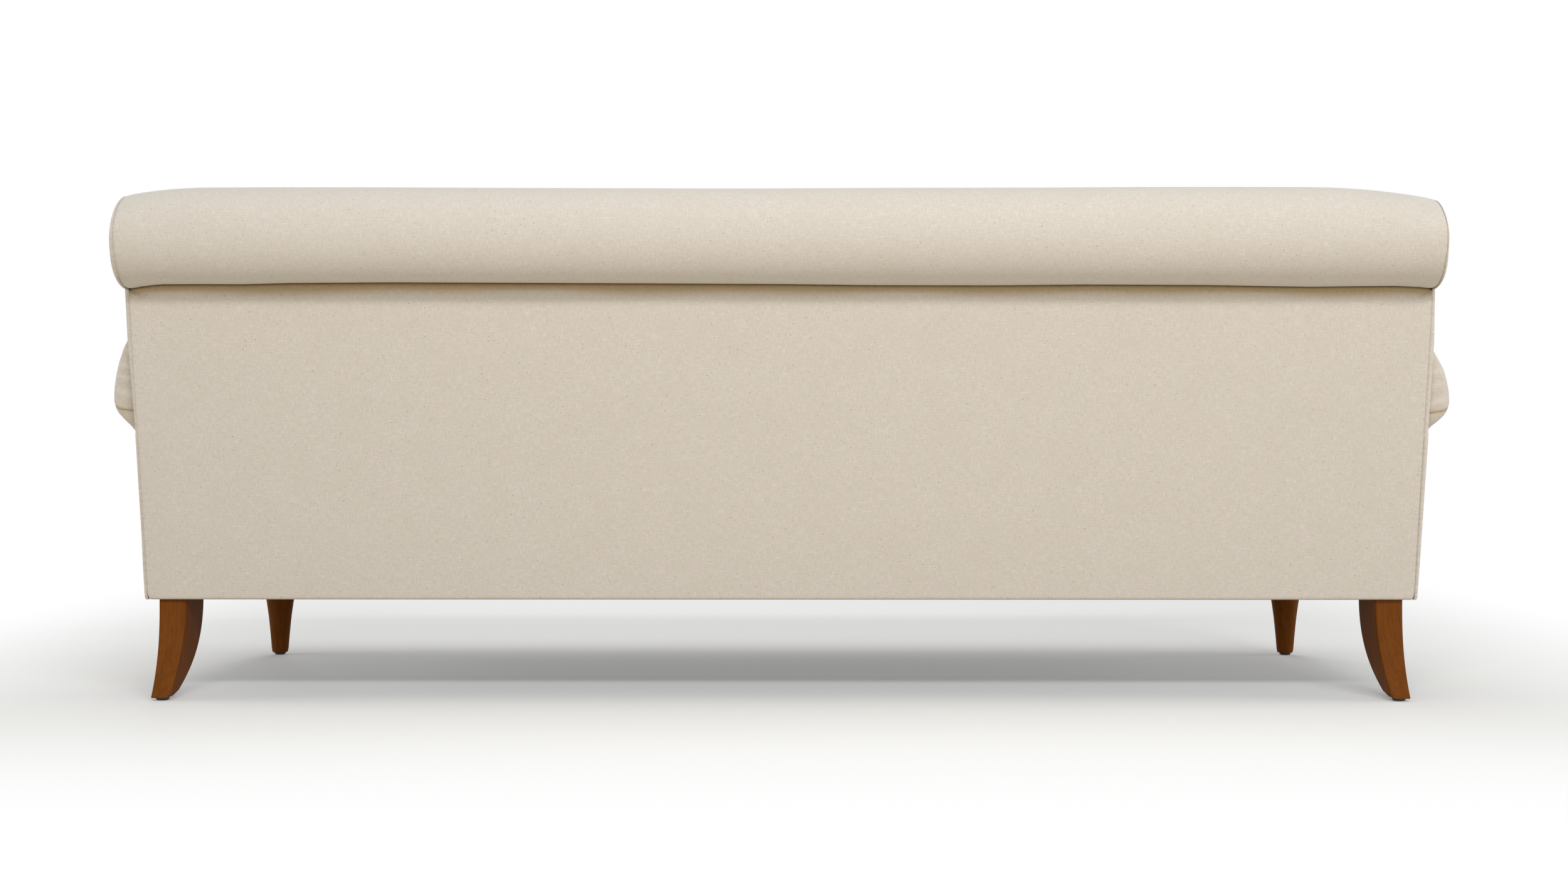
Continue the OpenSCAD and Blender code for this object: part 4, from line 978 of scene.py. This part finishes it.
def straps():
    """Back webbing: upright straps from rail to rail and cross straps woven over and under."""
    post_x, low_z = 1050.0, 323.0
    uprights, crosses = 11, 3
    width = np.linspace(-25.0, 25.0, 7)
    cross0 = low_z + 60
    gap = (CREASE_Z - cross0) / crosses
    xs = (np.arange(uprights) - uprights // 2) * (2 * (post_x - 30) / uprights)
    zs = cross0 + (np.arange(crosses) + 0.5) * gap
    # Set-backs from the outside back: upright straps lie behind the cross straps.
    rear_set, front_set = 63.2, 65.8

    def woven_over(place, others, k):
        """1 where strap k passes one of the others, every second time, and 0 between."""
        turns = (-1.0) ** (np.arange(len(others)) + k)
        return np.clip((np.exp(-((place[:, None] - others) / 34) ** 4) * turns).sum(1), 0, 1)

    parts = []
    for k, x0 in enumerate(xs):
        z = np.linspace(low_z, CREASE_Z + 50, 110)
        y = outside_y(z) - (rear_set + 0.4 + 1.2 * woven_over(z, zs, k))
        parts.append(grid(xyz((x0 + width)[:, None], y, z), inside=(0, 500, 500)))
    for k, z0 in enumerate(zs):
        x = np.linspace(-post_x, post_x, 400)
        y = outside_y(z0 + width) - (front_set + 1.4 - 1.2 * woven_over(x, xs, k))[:, None]
        parts.append(grid(xyz(x[:, None], y, z0 + width), inside=(0, 500, 500)))
    return make("back_webbing_straps", parts, webbing, ("back_webbing",), 1.2)


web = straps()

# Finishes of the pieces that stay as the CAD model has them

FINISH = {
    beech[0]: ["front_rail", "rear_rail", "back_low_rail", "back_top_rail"],
    beech[1]: ["side_rail_left", "side_rail_right", "seat_stretchers", "arm_top_rails",
               "arm_slats_left", "arm_slats_right", "corner_blocks"],
    beech[2]: ["back_post_left", "back_post_right", "back_ribs", "arm_front_boards",
               "arm_stumps"],
    spring_wire: ["seat_springs", "spring_tie_wires"],
    zinc: ["spring_clips", "leg_bolts", "leg_inserts"],
}
for finish, names in FINISH.items():
    for name in names:
        nodes[name].data.materials.clear()
        nodes[name].data.materials.append(finish)

# Floor, light and camera


def seen_directly(tree):
    """1 for rays from the camera and for rays that metal or glass sends on."""
    path = add(tree, "LightPath")
    seen = calc(tree, "MAXIMUM", path.outputs["Is Camera Ray"], path.outputs["Is Glossy Ray"])
    return calc(tree, "MAXIMUM", seen, path.outputs["Is Transmission Ray"])


def pale_floor():
    """Matt white paper sweep. Seen directly it is white where the light reaches it and grey in
    the sofa's shadow."""
    m, t, place = material("paper_floor")
    # Plain is what the floor throws back on the sofa; lit and lift are what the camera sees.
    plain = add(t, "BsdfDiffuse", {"Color": tone("#D0C7B9")})
    lit = add(t, "BsdfDiffuse", {"Color": tone("#E6E5E2")})
    lift = add(t, "Emission", {"Color": (1, 0.995, 0.985, 1), "Strength": 0.15})
    own = add(t, "AddShader", {0: lit, 1: lift})
    # Far from the sofa the paper runs on into the white background.
    x, y = add(t, "SeparateXYZ", {0: place}).outputs[:2]
    away = calc(t, "MAXIMUM", ramp(t, calc(t, "ABSOLUTE", x), 1.2, 2.0),
                calc(t, "MAXIMUM", ramp(t, y, 0.5, 1.3), ramp(t, y, -1.7, -2.6)))
    white = add(t, "Emission", {"Strength": 1.0})
    seen = add(t, "MixShader", {0: away, 1: own, 2: white})
    chosen = add(t, "MixShader", {0: seen_directly(t), 1: plain, 2: seen})
    add(t, "OutputMaterial", {"Surface": chosen})
    return m


floor = bpy.data.meshes.new("floor")
floor.from_pydata([(-15, -15, 0), (15, -15, 0), (15, 15, 0), (-15, 15, 0)], [], [(0, 1, 2, 3)])
floor.materials.append(pale_floor())
new_object("floor", floor)

world = bpy.data.worlds.new("studio")
bpy.context.scene.world = world
world.use_nodes = True
tree = world.node_tree
tree.nodes.clear()
around = add(tree, "Background", {"Color": (0.97, 0.98, 1.0, 1), "Strength": 0.33})
white = add(tree, "Background", {"Color": (1, 1, 1, 1), "Strength": 1.0})
choice = add(tree, "MixShader", {0: seen_directly(tree), 1: around, 2: white})
add(tree, "OutputWorld", {"Surface": choice})


def lamp(name, place, aim, size, power, colour=(1, 1, 1)):
    light = bpy.data.lights.new(name, "AREA")
    light.shape, (light.size, light.size_y) = "RECTANGLE", size
    light.energy, light.color = power, colour
    piece = new_object(name, light)
    piece.location = place
    way = Vector(aim) - Vector(place)
    piece.rotation_euler = way.to_track_quat("-Z", "Y").to_euler()


lamp("high_softbox", (-0.7, 4.0, 3.1), (0, 0.3, 0.6), (4.4, 0.5), 117, (0.95, 0.98, 1.0))
lamp("low_softbox", (-0.5, 5.2, 0.9), (0, 0.3, 0.45), (5.0, 1.4), 70, (0.97, 0.985, 1.0))
lamp("overhead_softbox", (0.0, 0.2, 3.6), (0, 0.1, 0.5), (4.0, 1.8), 26, (0.93, 0.97, 1.0))
lamp("front_softbox", (0.9, -5.2, 1.5), (0, 0, 0.45), (4.4, 1.4), 120, (0.98, 0.99, 1.0))
for side in (-1, 1):
    lamp(f"side_softbox_{side + 1}", (side * 5.2, -0.4, 1.2), (side * 1.0, 0, 0.5), (2.6, 1.4), 46)

# The camera fitted to the picture: film width, focal length and picture width in pixels, yaw.
FILM, FOCAL_PX, WIDTH_PX, YAW = 36.0, 2900.6, 2500, 0.0044
view_data = bpy.data.cameras.new("camera")
view_data.sensor_width, view_data.lens = FILM, FILM * FOCAL_PX / WIDTH_PX
view = new_object("camera", view_data)
view.location = (-0.0205, 3.345, 0.4367)
view.rotation_euler = (math.pi / 2, 0, math.pi + YAW)
bpy.context.scene.camera = view
bpy.context.scene.view_settings.view_transform = "Standard"
